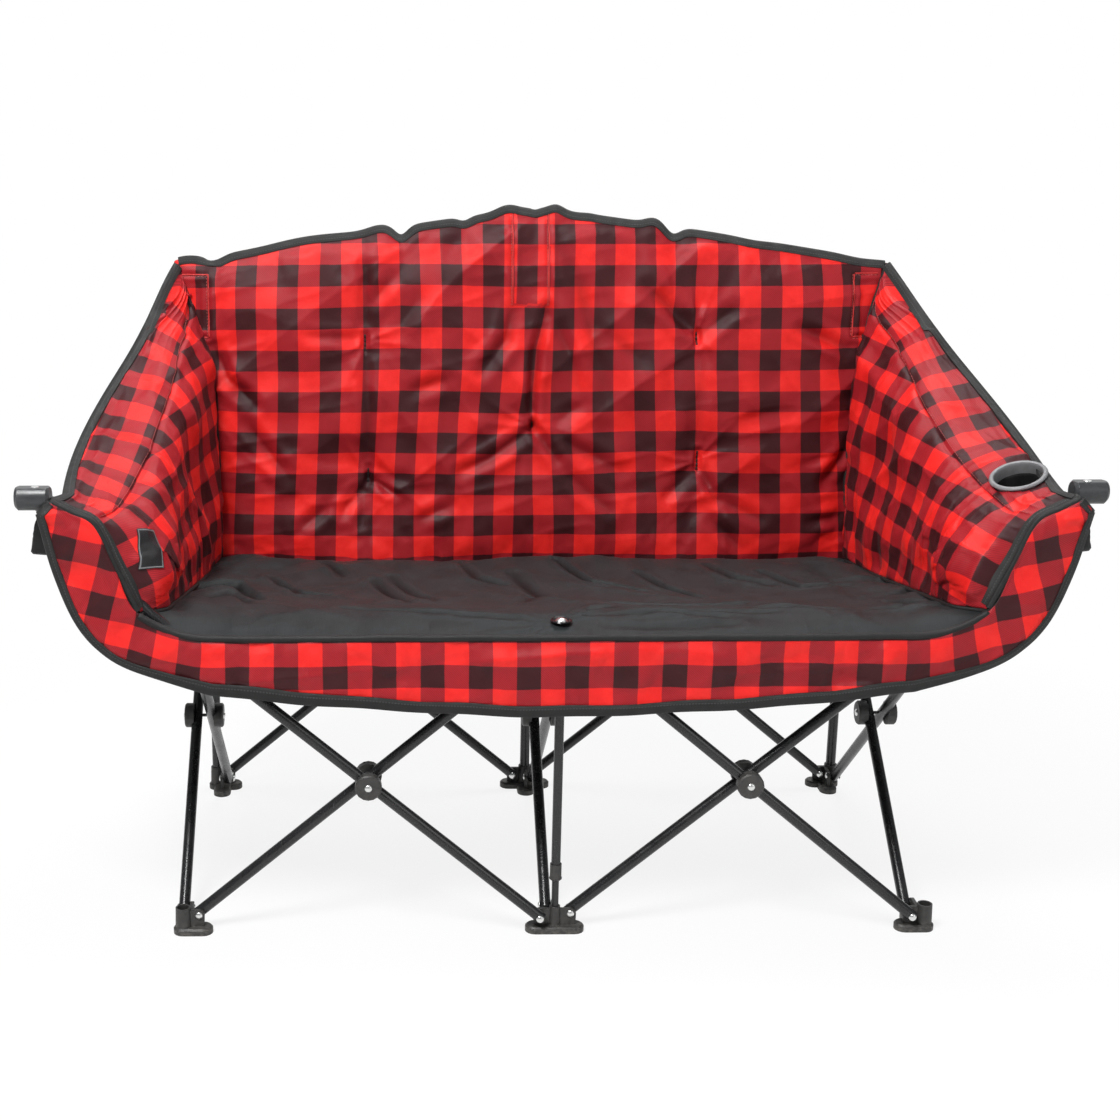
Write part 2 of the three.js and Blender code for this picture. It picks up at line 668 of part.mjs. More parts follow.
// Rear posts stand in the rear feet and carry the top of the cover.
function addPosts() {
  for (const column of COLUMNS) {
    const top = column.name === "centre" ? CENTRE_POST_TOP : CORNER_POST_TOP;
    const from = new THREE.Vector3(column.x, REAR_Y, SOCKET_FLOOR + SEAT_CLEARANCE);
    const to = from.clone().setZ(top);
    add(`rear_${column.name}_post`,
      straightTube(from, to, TUBE_D / 2, TUBE_WALL, TUBE_SIDES), TUBE_BLACK);
  }
  addTelescopingPost();
}

// A thin rod in the front middle foot slides in a sleeve under the front middle joint.
function addTelescopingPost() {
  const base = new THREE.Vector3(0, FRONT_Y, SOCKET_FLOOR + SEAT_CLEARANCE);
  const rodTop = base.clone().setZ(ROD_TOP);
  add("front_post_rod", bar(base, rodTop, ROD_D / 2, SOCKET_SIDES), TUBE_BLACK);
  const low = base.clone().setZ(SLEEVE_BOTTOM);
  const high = base.clone().setZ(TOP_PIN_Z + SLEEVE_RISE);
  add("front_post_sleeve",
    straightTube(low, high, SLEEVE_D / 2, SLEEVE_WALL, SOCKET_SIDES), TUBE_BLACK);
  add("front_post_collar", postCollar(low), JOINT_PLASTIC);
}

// The plastic collar at the sleeve's lower end: a lipped ring the rod runs through.
function postCollar(low) {
  const rodR = ROD_D / 2 + SEAT_CLEARANCE;
  const sleeveR = SLEEVE_D / 2 + SEAT_CLEARANCE;
  const r = COLLAR_D / 2;
  const base = -COLLAR_HEIGHT / 3;
  const top = base + COLLAR_HEIGHT;
  const ledge = -SEAT_CLEARANCE;
  const outline = [
    [rodR, base], [r - COLLAR_LIP, base], [r, base + COLLAR_LIP], [r, base + 2 * COLLAR_LIP],
    [r - COLLAR_LIP / 2, base + 3 * COLLAR_LIP], [r - COLLAR_LIP / 2, top], [sleeveR, top],
    [sleeveR, ledge], [rodR, ledge], [rodR, base],
  ];
  const ring = new THREE.LatheGeometry(outline.map(([x, y]) => new THREE.Vector2(x, y)), SOCKET_SIDES);
  ring.rotateX(Math.PI / 2);
  return placed(ring, at(low.x, low.y, low.z));
}

// The plastic end of an arm: a neck over the tube and a level stub with a flat for its screw.
function addArmEnds() {
  for (const [name, along, side] of [["left", LEFT, FORWARD], ["right", RIGHT, BACKWARD]]) {
    const { tip, lean } = armTip(along, side);
    const neckTop = tip.clone().addScaledVector(lean, NECK_LENGTH - NECK_GRIP);
    const neckLow = tip.clone().addScaledVector(lean, -NECK_GRIP);
    const stubAxis = neckTop.clone();
    const outer = stubAxis.clone().addScaledVector(along, STUB_OUTREACH);
    const inner = outer.clone().addScaledVector(along, -STUB_LENGTH);
    const stub = solid(chamferedBar(inner, outer, STUB_D / 2, STUB_CHAMFER));
    const neck = solid(bar(neckLow, neckTop, NECK_D / 2, SOCKET_SIDES));
    const bore = solid(bar(neckLow.clone().addScaledVector(lean, -CUT_OVERRUN),
      tip.clone().addScaledVector(lean, SEAT_CLEARANCE), TUBE_D / 2 + SEAT_CLEARANCE, TUBE_SIDES));
    const flat = new THREE.BoxGeometry(2 * STUB_LENGTH, 2 * STUB_D, STUB_D);
    const flatZ = stubAxis.z + STUB_D / 2 - STUB_FLAT_DEPTH + STUB_D / 2;
    const trimmed = cut(join(stub, neck), bore, solid(placed(flat, at(stubAxis.x, stubAxis.y, flatZ))));
    add(`${name}_arm_end`, trimmed, JOINT_PLASTIC);
  }
}

function armTip(along, side) {
  const x = along.x * (POST_X - PIN_TO_POST_X);
  const pin = new THREE.Vector3(x, FRONT_Y, TOP_PIN_Z).addScaledVector(side, AXIS_OFFSET);
  const points = armPoints(pin, along);
  const tip = points[points.length - 1];
  const lean = inPlane(along, OPEN_ANGLE + THREE.MathUtils.degToRad(ARM_BEND_DEG));
  return { tip, lean };
}

function chamferedBar(from, to, radius, chamfer) {
  const along = new THREE.Vector3().subVectors(to, from);
  const length = along.length();
  const profile = [
    [0, 0], [radius - chamfer, 0], [radius, chamfer], [radius, length - chamfer],
    [radius - chamfer, length], [0, length],
  ];
  const body = new THREE.LatheGeometry(profile.map(([x, y]) => new THREE.Vector2(x, y)), DISC_SIDES);
  const turn = new THREE.Quaternion().setFromUnitVectors(
    new THREE.Vector3(0, 1, 0), along.clone().normalize());
  return placed(body, new THREE.Matrix4().compose(from, turn, new THREE.Vector3(1, 1, 1)));
}

// The cover: quilted panels, each a closed sheet with its own crown and seams.

// A closed sheet from a mid surface and a thickness, both given over u and v from 0 to 1.
// Its top face looks along +normal, where the normal is the u direction crossed with v.
// lowShare is the share of the crown that swells below the mid surface.
function paddedSheet(surface, thickness, columns, rows, lowShare = 1 / 2) {
  const step = SAMPLE_SHARE;
  const top = [];
  const low = [];
  for (let i = 0; i <= columns; i += 1) {
    for (let j = 0; j <= rows; j += 1) {
      const u = i / columns;
      const v = j / rows;
      const centre = surface(u, v);
      const du = surface(Math.min(u + step, 1), v).sub(surface(Math.max(u - step, 0), v));
      const dv = surface(u, Math.min(v + step, 1)).sub(surface(u, Math.max(v - step, 0)));
      const normal = du.cross(dv).normalize();
      const swell = thickness(u, v) - EDGE_T;
      top.push(centre.clone().addScaledVector(normal, EDGE_T / 2 + swell * (1 - lowShare)));
      low.push(centre.clone().addScaledVector(normal, -EDGE_T / 2 - swell * lowShare));
    }
  }
  return sheetSkin(top, low, columns, rows);
}

function sheetSkin(top, low, columns, rows) {
  const positions = [];
  const index = (i, j) => i * (rows + 1) + j;
  const quad = (a, b, c, d) => positions.push(...[a, b, c, a, c, d].flatMap((p) => [p.x, p.y, p.z]));
  for (let i = 0; i < columns; i += 1) {
    for (let j = 0; j < rows; j += 1) {
      const [a, b, c, d] = [index(i, j), index(i + 1, j), index(i + 1, j + 1), index(i, j + 1)];
      quad(top[a], top[b], top[c], top[d]);
      quad(low[d], low[c], low[b], low[a]);
    }
  }
  for (let i = 0; i < columns; i += 1) {
    const [near, nearNext] = [index(i, 0), index(i + 1, 0)];
    const [far, farNext] = [index(i, rows), index(i + 1, rows)];
    quad(low[near], low[nearNext], top[nearNext], top[near]);
    quad(low[farNext], low[far], top[far], top[farNext]);
  }
  for (let j = 0; j < rows; j += 1) {
    const [right, rightNext] = [index(columns, j), index(columns, j + 1)];
    const [left, leftNext] = [index(0, j), index(0, j + 1)];
    quad(low[right], low[rightNext], top[rightNext], top[right]);
    quad(low[leftNext], low[left], top[left], top[leftNext]);
  }
  const geometry = new THREE.BufferGeometry();
  geometry.setAttribute("position", new THREE.Float32BufferAttribute(positions, 3));
  return geometry;
}

function mix(a, b, share) {
  return a + (b - a) * share;
}

// Thick in the middle and drawn in to the sewn edge, over about a tenth of the panel.
function crown(u, v, full) {
  const edge = Math.min(u, 1 - u, v, 1 - v) / DRAW_IN_SHARE;
  const rise = Math.sin(Math.min(edge, 1) * Math.PI / 2);
  return mix(EDGE_T, full, rise);
}

// The seat's edges. Its front edge is level, then lifts to the corners.
function seatFrontZ(x) {
  const past = Math.max(0, Math.abs(x) - SEAT_FRONT_FLAT_HALF);
  const share = past / (SEAT_FRONT_HALF - SEAT_FRONT_FLAT_HALF);
  return SEAT_FRONT_Z + SEAT_CORNER_LIFT * share ** 2;
}

const SEAT_FRONT_Y = FRONT_Y - SEAT_OVERHANG;
const SEAT_REAR_Y = REAR_Y - SEAT_SETBACK;

function seatSurface(u, v) {
  const half = mix(SEAT_FRONT_HALF, SEAT_REAR_HALF, v);
  const x = mix(-half, half, u);
  const y = mix(SEAT_FRONT_Y, SEAT_REAR_Y, v);
  const level = mix(seatFrontZ(x * SEAT_FRONT_HALF / half), SEAT_REAR_Z, v);
  const across = 1 - (2 * u - 1) ** SEAT_SIDE_POWER;
  const along = Math.sin(Math.PI * v) ** 2 * across;
  const folds = SEAT_CREASE * Math.sin(Math.PI * v) ** 2 * Math.sin(SEAT_FOLDS * Math.PI * u + 2 * v);
  return new THREE.Vector3(x, y, level - SEAT_SAG * along + folds * across);
}

// The back panel: v runs up from the seat, and the top edge rises to the middle post.
function backHalfWidth(v) {
  return mix(SEAT_REAR_HALF, BACK_CORNER_X, v ** BACK_FLARE_POWER);
}

function backMidY(v) {
  const bottom = SEAT_REAR_Y + SEW_GAP + EDGE_T / 2;
  return mix(bottom, REAR_Y - BACK_TOP_SETBACK, v ** BACK_LEAN_POWER);
}

function backSurface(u, v) {
  const x = mix(-1, 1, u) * backHalfWidth(v);
  const slope = 1 - Math.abs(2 * u - 1) ** BACK_SLOPE_POWER;
  const top = mix(BACK_CORNER_Z, BACK_PEAK_Z, slope);
  const hollow = BACK_HOLLOW * Math.sin(Math.PI * v) * Math.sin(2 * Math.PI * u) ** 2;
  return new THREE.Vector3(x, backMidY(v) - hollow * v, mix(BACK_BOTTOM_Z, top, v));
}

// Quilting seams run up the back and pinch the padding.
function backThickness(u, v) {
  const x = mix(-1, 1, u) * backHalfWidth(v);
  const seams = [-BACK_SEAM_SPACING, 0, BACK_SEAM_SPACING].map((seam) => {
    const off = (x - seam) / BACK_SEAM_WIDTH;
    return Math.exp(-off * off);
  });
  const pinch = BACK_SEAM_DEPTH * Math.max(...seams);
  return Math.max(EDGE_T, crown(u, v, BACK_T) - pinch);
}

// A sleeve behind the back panel that a post's top slips into.
function postPocket(x, postTop, width, height) {
  const depth = TUBE_D + 2 * SEAT_CLEARANCE + POCKET_WALL + BACK_TOP_SETBACK - TUBE_D / 2;
  const rear = REAR_Y + TUBE_D / 2 + SEAT_CLEARANCE + POCKET_WALL;
  const top = postTop + POCKET_TOP_WALL + SEAT_CLEARANCE;
  const shape = new THREE.Shape();
  const round = TUBE_D / 2;
  shape.moveTo(-width / 2, 0);
  shape.lineTo(width / 2, 0);
  shape.lineTo(width / 2, depth - round);
  shape.quadraticCurveTo(width / 4, depth, 0, depth);
  shape.quadraticCurveTo(-width / 4, depth, -width / 2, depth - round);
  const sleeve = new THREE.ExtrudeGeometry(shape, {
    depth: height, bevelEnabled: false, curveSegments: 3,
  });
  return solid(placed(sleeve, at(x, rear - depth, top - height)));
}

function addBack() {
  const panel = solid(paddedSheet((u, v) => backSurface(1 - u, v), (u, v) => backThickness(1 - u, v),
    BACK_GRID.columns, BACK_GRID.rows));
  const posts = COLUMNS.map((column) => {
    const isCentre = column.name === "centre";
    const postTop = isCentre ? CENTRE_POST_TOP : CORNER_POST_TOP;
    const pocket = isCentre
      ? postPocket(column.x, postTop, CENTRE_POCKET_W, CENTRE_POCKET_H)
      : postPocket(column.x, postTop, CORNER_POCKET_W, CORNER_POCKET_H);
    const from = new THREE.Vector3(column.x, REAR_Y, 0);
    const bore = solid(bar(from, from.clone().setZ(postTop + SEAT_CLEARANCE), SOCKET_BORE / 2, TUBE_SIDES));
    return { pocket, bore };
  });
  const body = cut(join(panel, ...posts.map((post) => post.pocket)), ...posts.map((post) => post.bore));
  add("back_panel", body, CHECK_CLOTH);
}

// Guide curves of an arm, from the back (u = 0) to the front (u = 1), for the right side.
function armEdge(u) {
  const s = 1 - u;
  const rear = armRear(1);
  return new THREE.Vector3(
    mix(ARM_FRONT_X, rear.x, s) + ARM_EDGE_BOW * Math.sin(Math.PI * s),
    mix(SEAT_FRONT_Y, rear.y, s),
    mix(ARM_FRONT_Z, rear.z, s ** EDGE_CLIMB_POWER));
}

function armRidge(u) {
  const s = 1 - u;
  const rear = armRear(1 - RIDGE_REAR_DROP / (BACK_CORNER_Z - BACK_BOTTOM_Z));
  return new THREE.Vector3(
    mix(RIDGE_FRONT_X, rear.x, s),
    mix(SEAT_FRONT_Y, rear.y, s),
    mix(RIDGE_FRONT_Z, rear.z, s ** RIDGE_CLIMB_POWER));
}

function armSeam(u) {
  const s = 1 - u;
  return new THREE.Vector3(
    mix(SEAT_FRONT_HALF, SEAT_REAR_HALF, s) - EDGE_T / 2,
    mix(SEAT_FRONT_Y, armRear(0).y, s),
    mix(SEAT_FRONT_Z + SEAT_CORNER_LIFT, SEAT_REAR_Z, s) + ARM_SEAM_LIFT);
}

// The line where an arm is sewn to the side of the back, v from the seat up to the corner.
function armRear(v) {
  return new THREE.Vector3(
    backHalfWidth(v) - EDGE_T / 2,
    backMidY(v) - EDGE_T / 2 - SEW_GAP - ARM_CORNER_LEAD * v ** CORNER_LEAD_POWER,
    mix(SEAT_REAR_Z + ARM_SEAM_LIFT, BACK_CORNER_Z, v));
}

function armSurface(u, v) {
  const edge = armEdge(u);
  const ridge = armRidge(u);
  const seam = armSeam(u);
  const upper = edge.clone().lerp(ridge, 1 / 2);
  const lower = ridge.clone().lerp(seam, 1 / 2);
  upper.z += ARM_BULGE * Math.sin(Math.PI * u);
  return new THREE.CatmullRomCurve3([edge, upper, ridge, lower, seam]).getPoint(v);
}

function mirrored(manifold) {
  return manifold.mirror([1, 0, 0]);
}

// The frame of the cup holder: its middle on the arm, with Z square to the cloth.
function cupFrame() {
  const centre = armSurface(CUP_ALONG_SHARE, CUP_ACROSS_SHARE);
  const du = armSurface(CUP_ALONG_SHARE + SAMPLE_SHARE, CUP_ACROSS_SHARE).sub(centre);
  const dv = armSurface(CUP_ALONG_SHARE, CUP_ACROSS_SHARE + SAMPLE_SHARE).sub(centre);
  const normal = du.cross(dv).normalize();
  if (normal.z < 0) {
    normal.negate();
  }
  return { centre, normal };
}

function addArms() {
  const right = solid(paddedSheet((u, v) => armSurface(u, 1 - v), (u, v) => crown(u, v, ARM_T),
    ARM_GRID.columns, ARM_GRID.rows));
  const { centre, normal } = cupFrame();
  const reach = CUP_RING_D;
  const hole = solid(bar(centre.clone().addScaledVector(normal, -reach),
    centre.clone().addScaledVector(normal, reach), CUP_BORE_D / 2 + CUP_WALL + SEAT_CLEARANCE, DISC_SIDES));
  const recessLow = centre.clone().addScaledVector(normal, ARM_T / 2 - CUP_RING_SINK);
  const recess = solid(bar(recessLow, centre.clone().addScaledVector(normal, reach),
    CUP_RING_D / 2 + SEAT_CLEARANCE, DISC_SIDES));
  add("arm_panel_right", cut(right, hole, recess), CHECK_CLOTH);
  add("arm_panel_left", mirrored(right), CHECK_CLOTH);
}

// The cup holder: a grey ring through the right arm and a sleeve that hangs straight down.
function addCupHolder() {
  const { centre, normal } = cupFrame();
  const bore = CUP_BORE_D / 2;
  const low = ARM_T / 2 + SEAT_CLEARANCE;
  const top = ARM_T / 2 - CUP_RING_SINK + SEAT_CLEARANCE;
  const ringPoints = [
    [bore, -low], [bore + CUP_WALL, -low], [bore + CUP_WALL, top], [CUP_RING_D / 2, top],
    [CUP_RING_D / 2, top + CUP_RING_T / 2], [CUP_RING_D / 2 - CUP_RING_T / 2, top + CUP_RING_T],
    [bore, top + CUP_RING_T], [bore, -low],
  ];
  const turn = new THREE.Quaternion().setFromUnitVectors(new THREE.Vector3(0, 1, 0), normal);
  const seat = new THREE.Matrix4().compose(centre, turn, new THREE.Vector3(1, 1, 1));
  const ring = new THREE.LatheGeometry(ringPoints.map(([x, y]) => new THREE.Vector2(x, y)), DISC_SIDES);
  add("cup_ring", placed(ring, seat), GREY_PLASTIC);

  const mouth = centre.clone().addScaledVector(normal, -low - SEAT_CLEARANCE);
  const outer = bore + CUP_WALL;
  const profile = [
    [0, -CUP_DEPTH], [outer - CUP_TAPER, -CUP_DEPTH], [outer, 0], [bore, 0],
    [bore - CUP_TAPER, CUP_WALL - CUP_DEPTH], [0, CUP_WALL - CUP_DEPTH],
  ];
  const cup = new THREE.LatheGeometry(divided(profile, 4), DISC_SIDES);
  const position = cup.attributes.position;
  for (let i = 0; i < position.count; i += 1) {
    const point = new THREE.Vector3().fromBufferAttribute(position, i);
    const depth = -point.y;
    const straight = THREE.MathUtils.clamp((depth - CUP_MOUTH) / CUP_STRAIGHTEN, 0, 1);
    const level = new THREE.Vector3(point.x, 0, point.z);
    const tilted = level.clone().applyQuaternion(turn);
    level.set(point.x, -point.z, 0);
    const share = straight * straight * (3 - 2 * straight);
    const place = tilted.lerp(level.applyQuaternion(swing(normal)), share);
    const fall = normal.clone().lerp(new THREE.Vector3(0, 0, 1), share).multiplyScalar(-depth);
    place.add(fall).add(mouth);
    position.setXYZ(i, place.x, place.y, place.z);
  }
  add("cup_sleeve", cup, BLACK_CLOTH);
}

// Turns level points about Z so that they line up with the same points on the tilted ring.
function swing(normal) {
  const turn = new THREE.Quaternion().setFromUnitVectors(new THREE.Vector3(0, 1, 0), normal);
  const start = new THREE.Vector3(1, 0, 0).applyQuaternion(turn);
  return new THREE.Quaternion().setFromAxisAngle(new THREE.Vector3(0, 0, 1), Math.atan2(start.y, start.x));
}

// The long sides of a profile cut into steps, so that it can bend.
function divided(profile, steps) {
  const points = [];
  for (let i = 0; i < profile.length - 1; i += 1) {
    const from = new THREE.Vector2(...profile[i]);
    const to = new THREE.Vector2(...profile[i + 1]);
    const count = Math.abs(from.y - to.y) > CUP_STRAIGHTEN ? steps : 1;
    for (let k = 0; k < count; k += 1) {
      points.push(from.clone().lerp(to, k / count));
    }
  }
  points.push(new THREE.Vector2(...profile[profile.length - 1]));
  return points;
}

// The front band hangs before the seat and climbs to the arm ends.
function bandSurface(topCurve, lowCurve, u, v) {
  const y = SEAT_FRONT_Y - SEW_GAP - BAND_T / 2;
  const top = topCurve(u);
  const low = lowCurve(u);
  return new THREE.Vector3(mix(low.x, top.x, v), y, mix(low.z, top.z, v));
}

function bandMiddleTop(u) {
  const x = mix(-SEAT_FRONT_FLAT_HALF, SEAT_FRONT_FLAT_HALF, u);
  return { x, z: SEAT_FRONT_Z + EDGE_T / 2 };
}

function bandMiddleLow(u) {
  const x = mix(-SEAT_FRONT_FLAT_HALF, SEAT_FRONT_FLAT_HALF, u);
  return { x, z: mix(BAND_BOTTOM_END_Z, BAND_BOTTOM_Z, Math.sin(Math.PI * u)) };
}

function bandEndTop(u) {
  const start = new THREE.Vector3(SEAT_FRONT_FLAT_HALF + SEW_GAP, 0, SEAT_FRONT_Z + EDGE_T / 2);
  const corner = new THREE.Vector3(SEAT_FRONT_HALF, 0, SEAT_FRONT_Z + SEAT_CORNER_LIFT + ARM_SEAM_LIFT);
  const ridge = new THREE.Vector3(RIDGE_FRONT_X, 0, RIDGE_FRONT_Z);
  const tip = new THREE.Vector3(ARM_FRONT_X, 0, ARM_FRONT_Z);
  return new THREE.CatmullRomCurve3([start, corner, ridge, tip]).getPoint(u);
}

function bandEndLow(u) {
  const start = new THREE.Vector3(SEAT_FRONT_FLAT_HALF + SEW_GAP, 0, BAND_BOTTOM_END_Z);
  const belly = new THREE.Vector3(BAND_BELLY_X, 0, BAND_BELLY_Z);
  const [outShare, upShare] = BAND_UNDER_SHARES;
  const under = new THREE.Vector3(
    mix(SEAT_FRONT_FLAT_HALF, BAND_BELLY_X, outShare), 0,
    mix(BAND_BOTTOM_END_Z, BAND_BELLY_Z, upShare));
  const tip = new THREE.Vector3(BAND_TIP_X, 0, BAND_TIP_Z);
  return new THREE.CatmullRomCurve3([start, under, belly, tip]).getPoint(u);
}

function addBand() {
  const even = () => BAND_T;
  const middle = solid(paddedSheet((u, v) => bandSurface(bandMiddleTop, bandMiddleLow, u, v), even,
    BAND_GRID.columns, BAND_GRID.rows));
  const right = solid(paddedSheet((u, v) => bandSurface(bandEndTop, bandEndLow, u, v), even,
    BAND_GRID.columns, BAND_GRID.rows));
  add("front_band_middle", middle, CHECK_CLOTH);
  add("front_band_right", right, CHECK_CLOTH);
  add("front_band_left", mirrored(right), CHECK_CLOTH);
}

function addSeat() {
  const seat = solid(paddedSheet(seatSurface, (u, v) => crown(u, v, SEAT_T),
    SEAT_GRID.columns, SEAT_GRID.rows, 0));
  add("seat_panel", seat, SEAT_CLOTH);
  const r = BUTTON_D / 2;
  const depth = SEAT_REAR_Y - SEAT_FRONT_Y;
  const spot = seatSurface(1 / 2, BUTTON_INSET / depth);
  const heights = [BUTTON_INSET - r, BUTTON_INSET, BUTTON_INSET + r].map((inset) => {
    const v = inset / depth;
    return seatSurface(1 / 2, v).z + crown(1 / 2, v, SEAT_T) - EDGE_T / 2;
  });
  const base = Math.max(...heights) + SEAT_CLEARANCE - BUTTON_SETTLE;
  const shoulders = BUTTON_RIM_SHARES.map((share, i) => [r * share, BUTTON_HEIGHT * BUTTON_RISE_SHARES[i]]);
  const profile = [[0, 0], [r, 0], ...shoulders, [0, BUTTON_HEIGHT]];
  const dome = new THREE.LatheGeometry(profile.map(([x, y]) => new THREE.Vector2(x, y)), SOCKET_SIDES);
  dome.rotateX(Math.PI / 2);
  add("seat_button", placed(dome, at(spot.x, spot.y, base)), GREY_PLASTIC);
}

// Black sleeves under the arm tips that the arm tubes pass through.
function addArmPockets() {
  for (const [name, along, side] of [["left", LEFT, FORWARD], ["right", RIGHT, BACKWARD]]) {
    const { tip, lean } = armTip(along, side);
    const high = tip.clone().addScaledVector(lean, -SLEEVE_POCKET_BELOW_TIP);
    const low = high.clone().addScaledVector(lean, -SLEEVE_POCKET_LENGTH);
    const wall = (SLEEVE_POCKET_D - TUBE_D) / 2 - SEAT_CLEARANCE;
    add(`arm_pocket_${name}`,
      straightTube(low, high, SLEEVE_POCKET_D / 2, wall, TUBE_SIDES), BLACK_CLOTH);
  }
}

addLongScissors();
addSideScissors();
addFeet();
addTopJoints();
addPosts();
addArmEnds();
addSeat();
addBack();
addArms();
addCupHolder();
addBand();
addArmPockets();

export default chair;
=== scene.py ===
# %% [markdown]
# # A folding camping loveseat
# The frame comes from a CAD model: feet, steel tubes, hub discs and posts, which fold on real pivots.
# This lesson dresses it. Round tubes, moulded plastic and rivets come first, then the padded cover.
# Every size is in metres, and the chair faces -Y.

# %% Load the frame
import bpy
import bmesh
import json
import math
import numpy as np
from mathutils import Matrix, Vector
from mathutils.bvhtree import BVHTree


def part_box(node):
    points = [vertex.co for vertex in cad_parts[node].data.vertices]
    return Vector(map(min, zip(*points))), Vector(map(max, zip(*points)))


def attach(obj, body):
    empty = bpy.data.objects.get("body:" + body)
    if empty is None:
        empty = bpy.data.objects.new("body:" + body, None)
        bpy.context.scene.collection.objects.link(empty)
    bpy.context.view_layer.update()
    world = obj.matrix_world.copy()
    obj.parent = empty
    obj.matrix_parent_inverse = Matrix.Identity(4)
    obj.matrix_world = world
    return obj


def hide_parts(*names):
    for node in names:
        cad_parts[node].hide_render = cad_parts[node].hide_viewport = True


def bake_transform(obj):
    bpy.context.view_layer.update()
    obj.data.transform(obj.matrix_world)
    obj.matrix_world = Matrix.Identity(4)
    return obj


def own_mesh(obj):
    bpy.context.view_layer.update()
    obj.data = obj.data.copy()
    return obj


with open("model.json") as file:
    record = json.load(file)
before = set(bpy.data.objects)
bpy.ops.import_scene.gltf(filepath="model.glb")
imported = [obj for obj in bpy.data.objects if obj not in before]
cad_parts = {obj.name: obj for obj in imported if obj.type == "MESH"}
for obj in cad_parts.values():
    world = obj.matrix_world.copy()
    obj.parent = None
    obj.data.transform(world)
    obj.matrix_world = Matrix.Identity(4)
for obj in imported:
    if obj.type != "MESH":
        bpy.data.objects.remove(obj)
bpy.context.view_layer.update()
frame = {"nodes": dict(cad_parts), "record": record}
scene = bpy.context.scene
BODY_OF = {n: b for b, ns in frame["record"]["behaviour"]["bodies"].items() for n in ns}

# %% [markdown]
# ## Camera
# The photograph looks slightly down at the chair from the left of its middle. The lens and the place
# come from the feet, the crossings and the post tops, and a sideways shift puts the chair in the middle.

# %% Camera
PITCH = 0.2622
YAW = -0.0114
camera_data = bpy.data.cameras.new("camera")
camera_data.lens = 55.45
camera_data.sensor_width = 36.0
camera_data.shift_x = 0.1421
camera = bpy.data.objects.new("camera", camera_data)
camera.location = (-0.2417, -2.4778, 1.1354)
camera.rotation_euler = (math.pi / 2 - PITCH, 0, YAW)
scene.collection.objects.link(camera)
scene.camera = camera
print("camera at", tuple(round(v, 3) for v in camera.location))

# %% [markdown]
# ## Node helpers
# A finish is a small graph of nodes. These helpers keep each graph short: one makes a node and sets its
# sockets, one starts a material with its shader, and the others name the steps that most finishes share.

# %% Node helpers
def plug(tree, socket, value):
    """Links a socket to a node's output, or sets it to a plain value."""
    if isinstance(value, bpy.types.NodeSocket):
        tree.links.new(value, socket)
    else:
        socket.default_value = value


def node(tree, kind, out=0, props=None, **sockets):
    """A new node. A socket goes by its name, or by i and its number where names repeat."""
    made = tree.nodes.new(kind)
    for key, value in (props or {}).items():
        setattr(made, key, value)
    for key, value in sockets.items():
        by_number = key[0] == "i" and key[1:].isdigit()
        plug(tree, made.inputs[int(key[1:]) if by_number else key.replace("_", " ")], value)
    return made.outputs[out]


def finish_named(name, **sockets):
    material = bpy.data.materials.new(name)
    material.use_nodes = True
    tree = material.node_tree
    shader = tree.nodes["Principled BSDF"]
    for key, value in sockets.items():
        shader.inputs[key.replace("_", " ")].default_value = value
    return material, tree, shader


def number(tree, operation, a, b=0.0):
    return node(tree, "ShaderNodeMath", props={"operation": operation}, i0=a, i1=b)


def times(tree, a, b):
    return number(tree, "MULTIPLY", a, b)


def off_by(tree, value, place):
    return number(tree, "ABSOLUTE", number(tree, "SUBTRACT", value, place))


def sine(tree, value, pitch):
    return number(tree, "SINE", times(tree, value, 2 * math.pi / pitch))


def ramp(tree, factor, low, high, to_low=0.0, to_high=1.0):
    return node(tree, "ShaderNodeMapRange", Value=factor, From_Min=low, From_Max=high,
                To_Min=to_low, To_Max=to_high)


def tint(tree, factor, a, b):
    made = tree.nodes.new("ShaderNodeMix")
    made.data_type = "RGBA"
    for place, value in ((0, factor), (6, a), (7, b)):
        plug(tree, made.inputs[place], value)
    return made.outputs[2]


def place_of(tree):
    return node(tree, "ShaderNodeTexCoord", out=3)


def stretched(tree, place, scale):
    return node(tree, "ShaderNodeMapping", Vector=place, Scale=scale)


def grain(tree, place, scale, detail=2.0, roughness=0.5):
    return node(tree, "ShaderNodeTexNoise", Vector=place, Scale=scale, Detail=detail, Roughness=roughness)


def raise_by(tree, shader, height, distance, strength=1.0, onto=None):
    sockets = dict(Height=height, Distance=distance, Strength=strength)
    if onto is not None:
        sockets["Normal"] = onto
    bump = node(tree, "ShaderNodeBump", **sockets)
    tree.links.new(bump, shader.inputs["Normal"])
    return bump


def coat(tree, shader, colour, roughness):
    tree.links.new(colour, shader.inputs["Base Color"])
    tree.links.new(roughness, shader.inputs["Roughness"])


# %% [markdown]
# ## Powder-coated tube
# The tubes are steel with a gloss black powder coat. Such a coat has a faint orange peel, so the gloss
# breaks up a little, and it gathers fine scuffs. Noise drives both.

# %% Tube black
def powder_coat():
    material, tree, shader = finish_named("tube_black", Metallic=0.0, IOR=1.5)
    place = place_of(tree)
    patches = grain(tree, place, 35.0, 4.0, 0.6)
    scuffs = grain(tree, stretched(tree, place, (1.0, 1.0, 0.08)), 420.0, 3.0)
    worn = ramp(tree, scuffs, 0.62, 0.74)
    colour = tint(tree, patches, (0.008, 0.008, 0.009, 1), (0.019, 0.019, 0.02, 1))
    colour = tint(tree, times(tree, worn, 0.25), colour, (0.09, 0.09, 0.09, 1))
    rough = ramp(tree, patches, 0.3, 0.7, 0.2, 0.34)
    coat(tree, shader, colour, number(tree, "ADD", rough, times(tree, worn, 0.2)))
    raise_by(tree, shader, grain(tree, place, 900.0), 0.00012, 0.6)
    return material


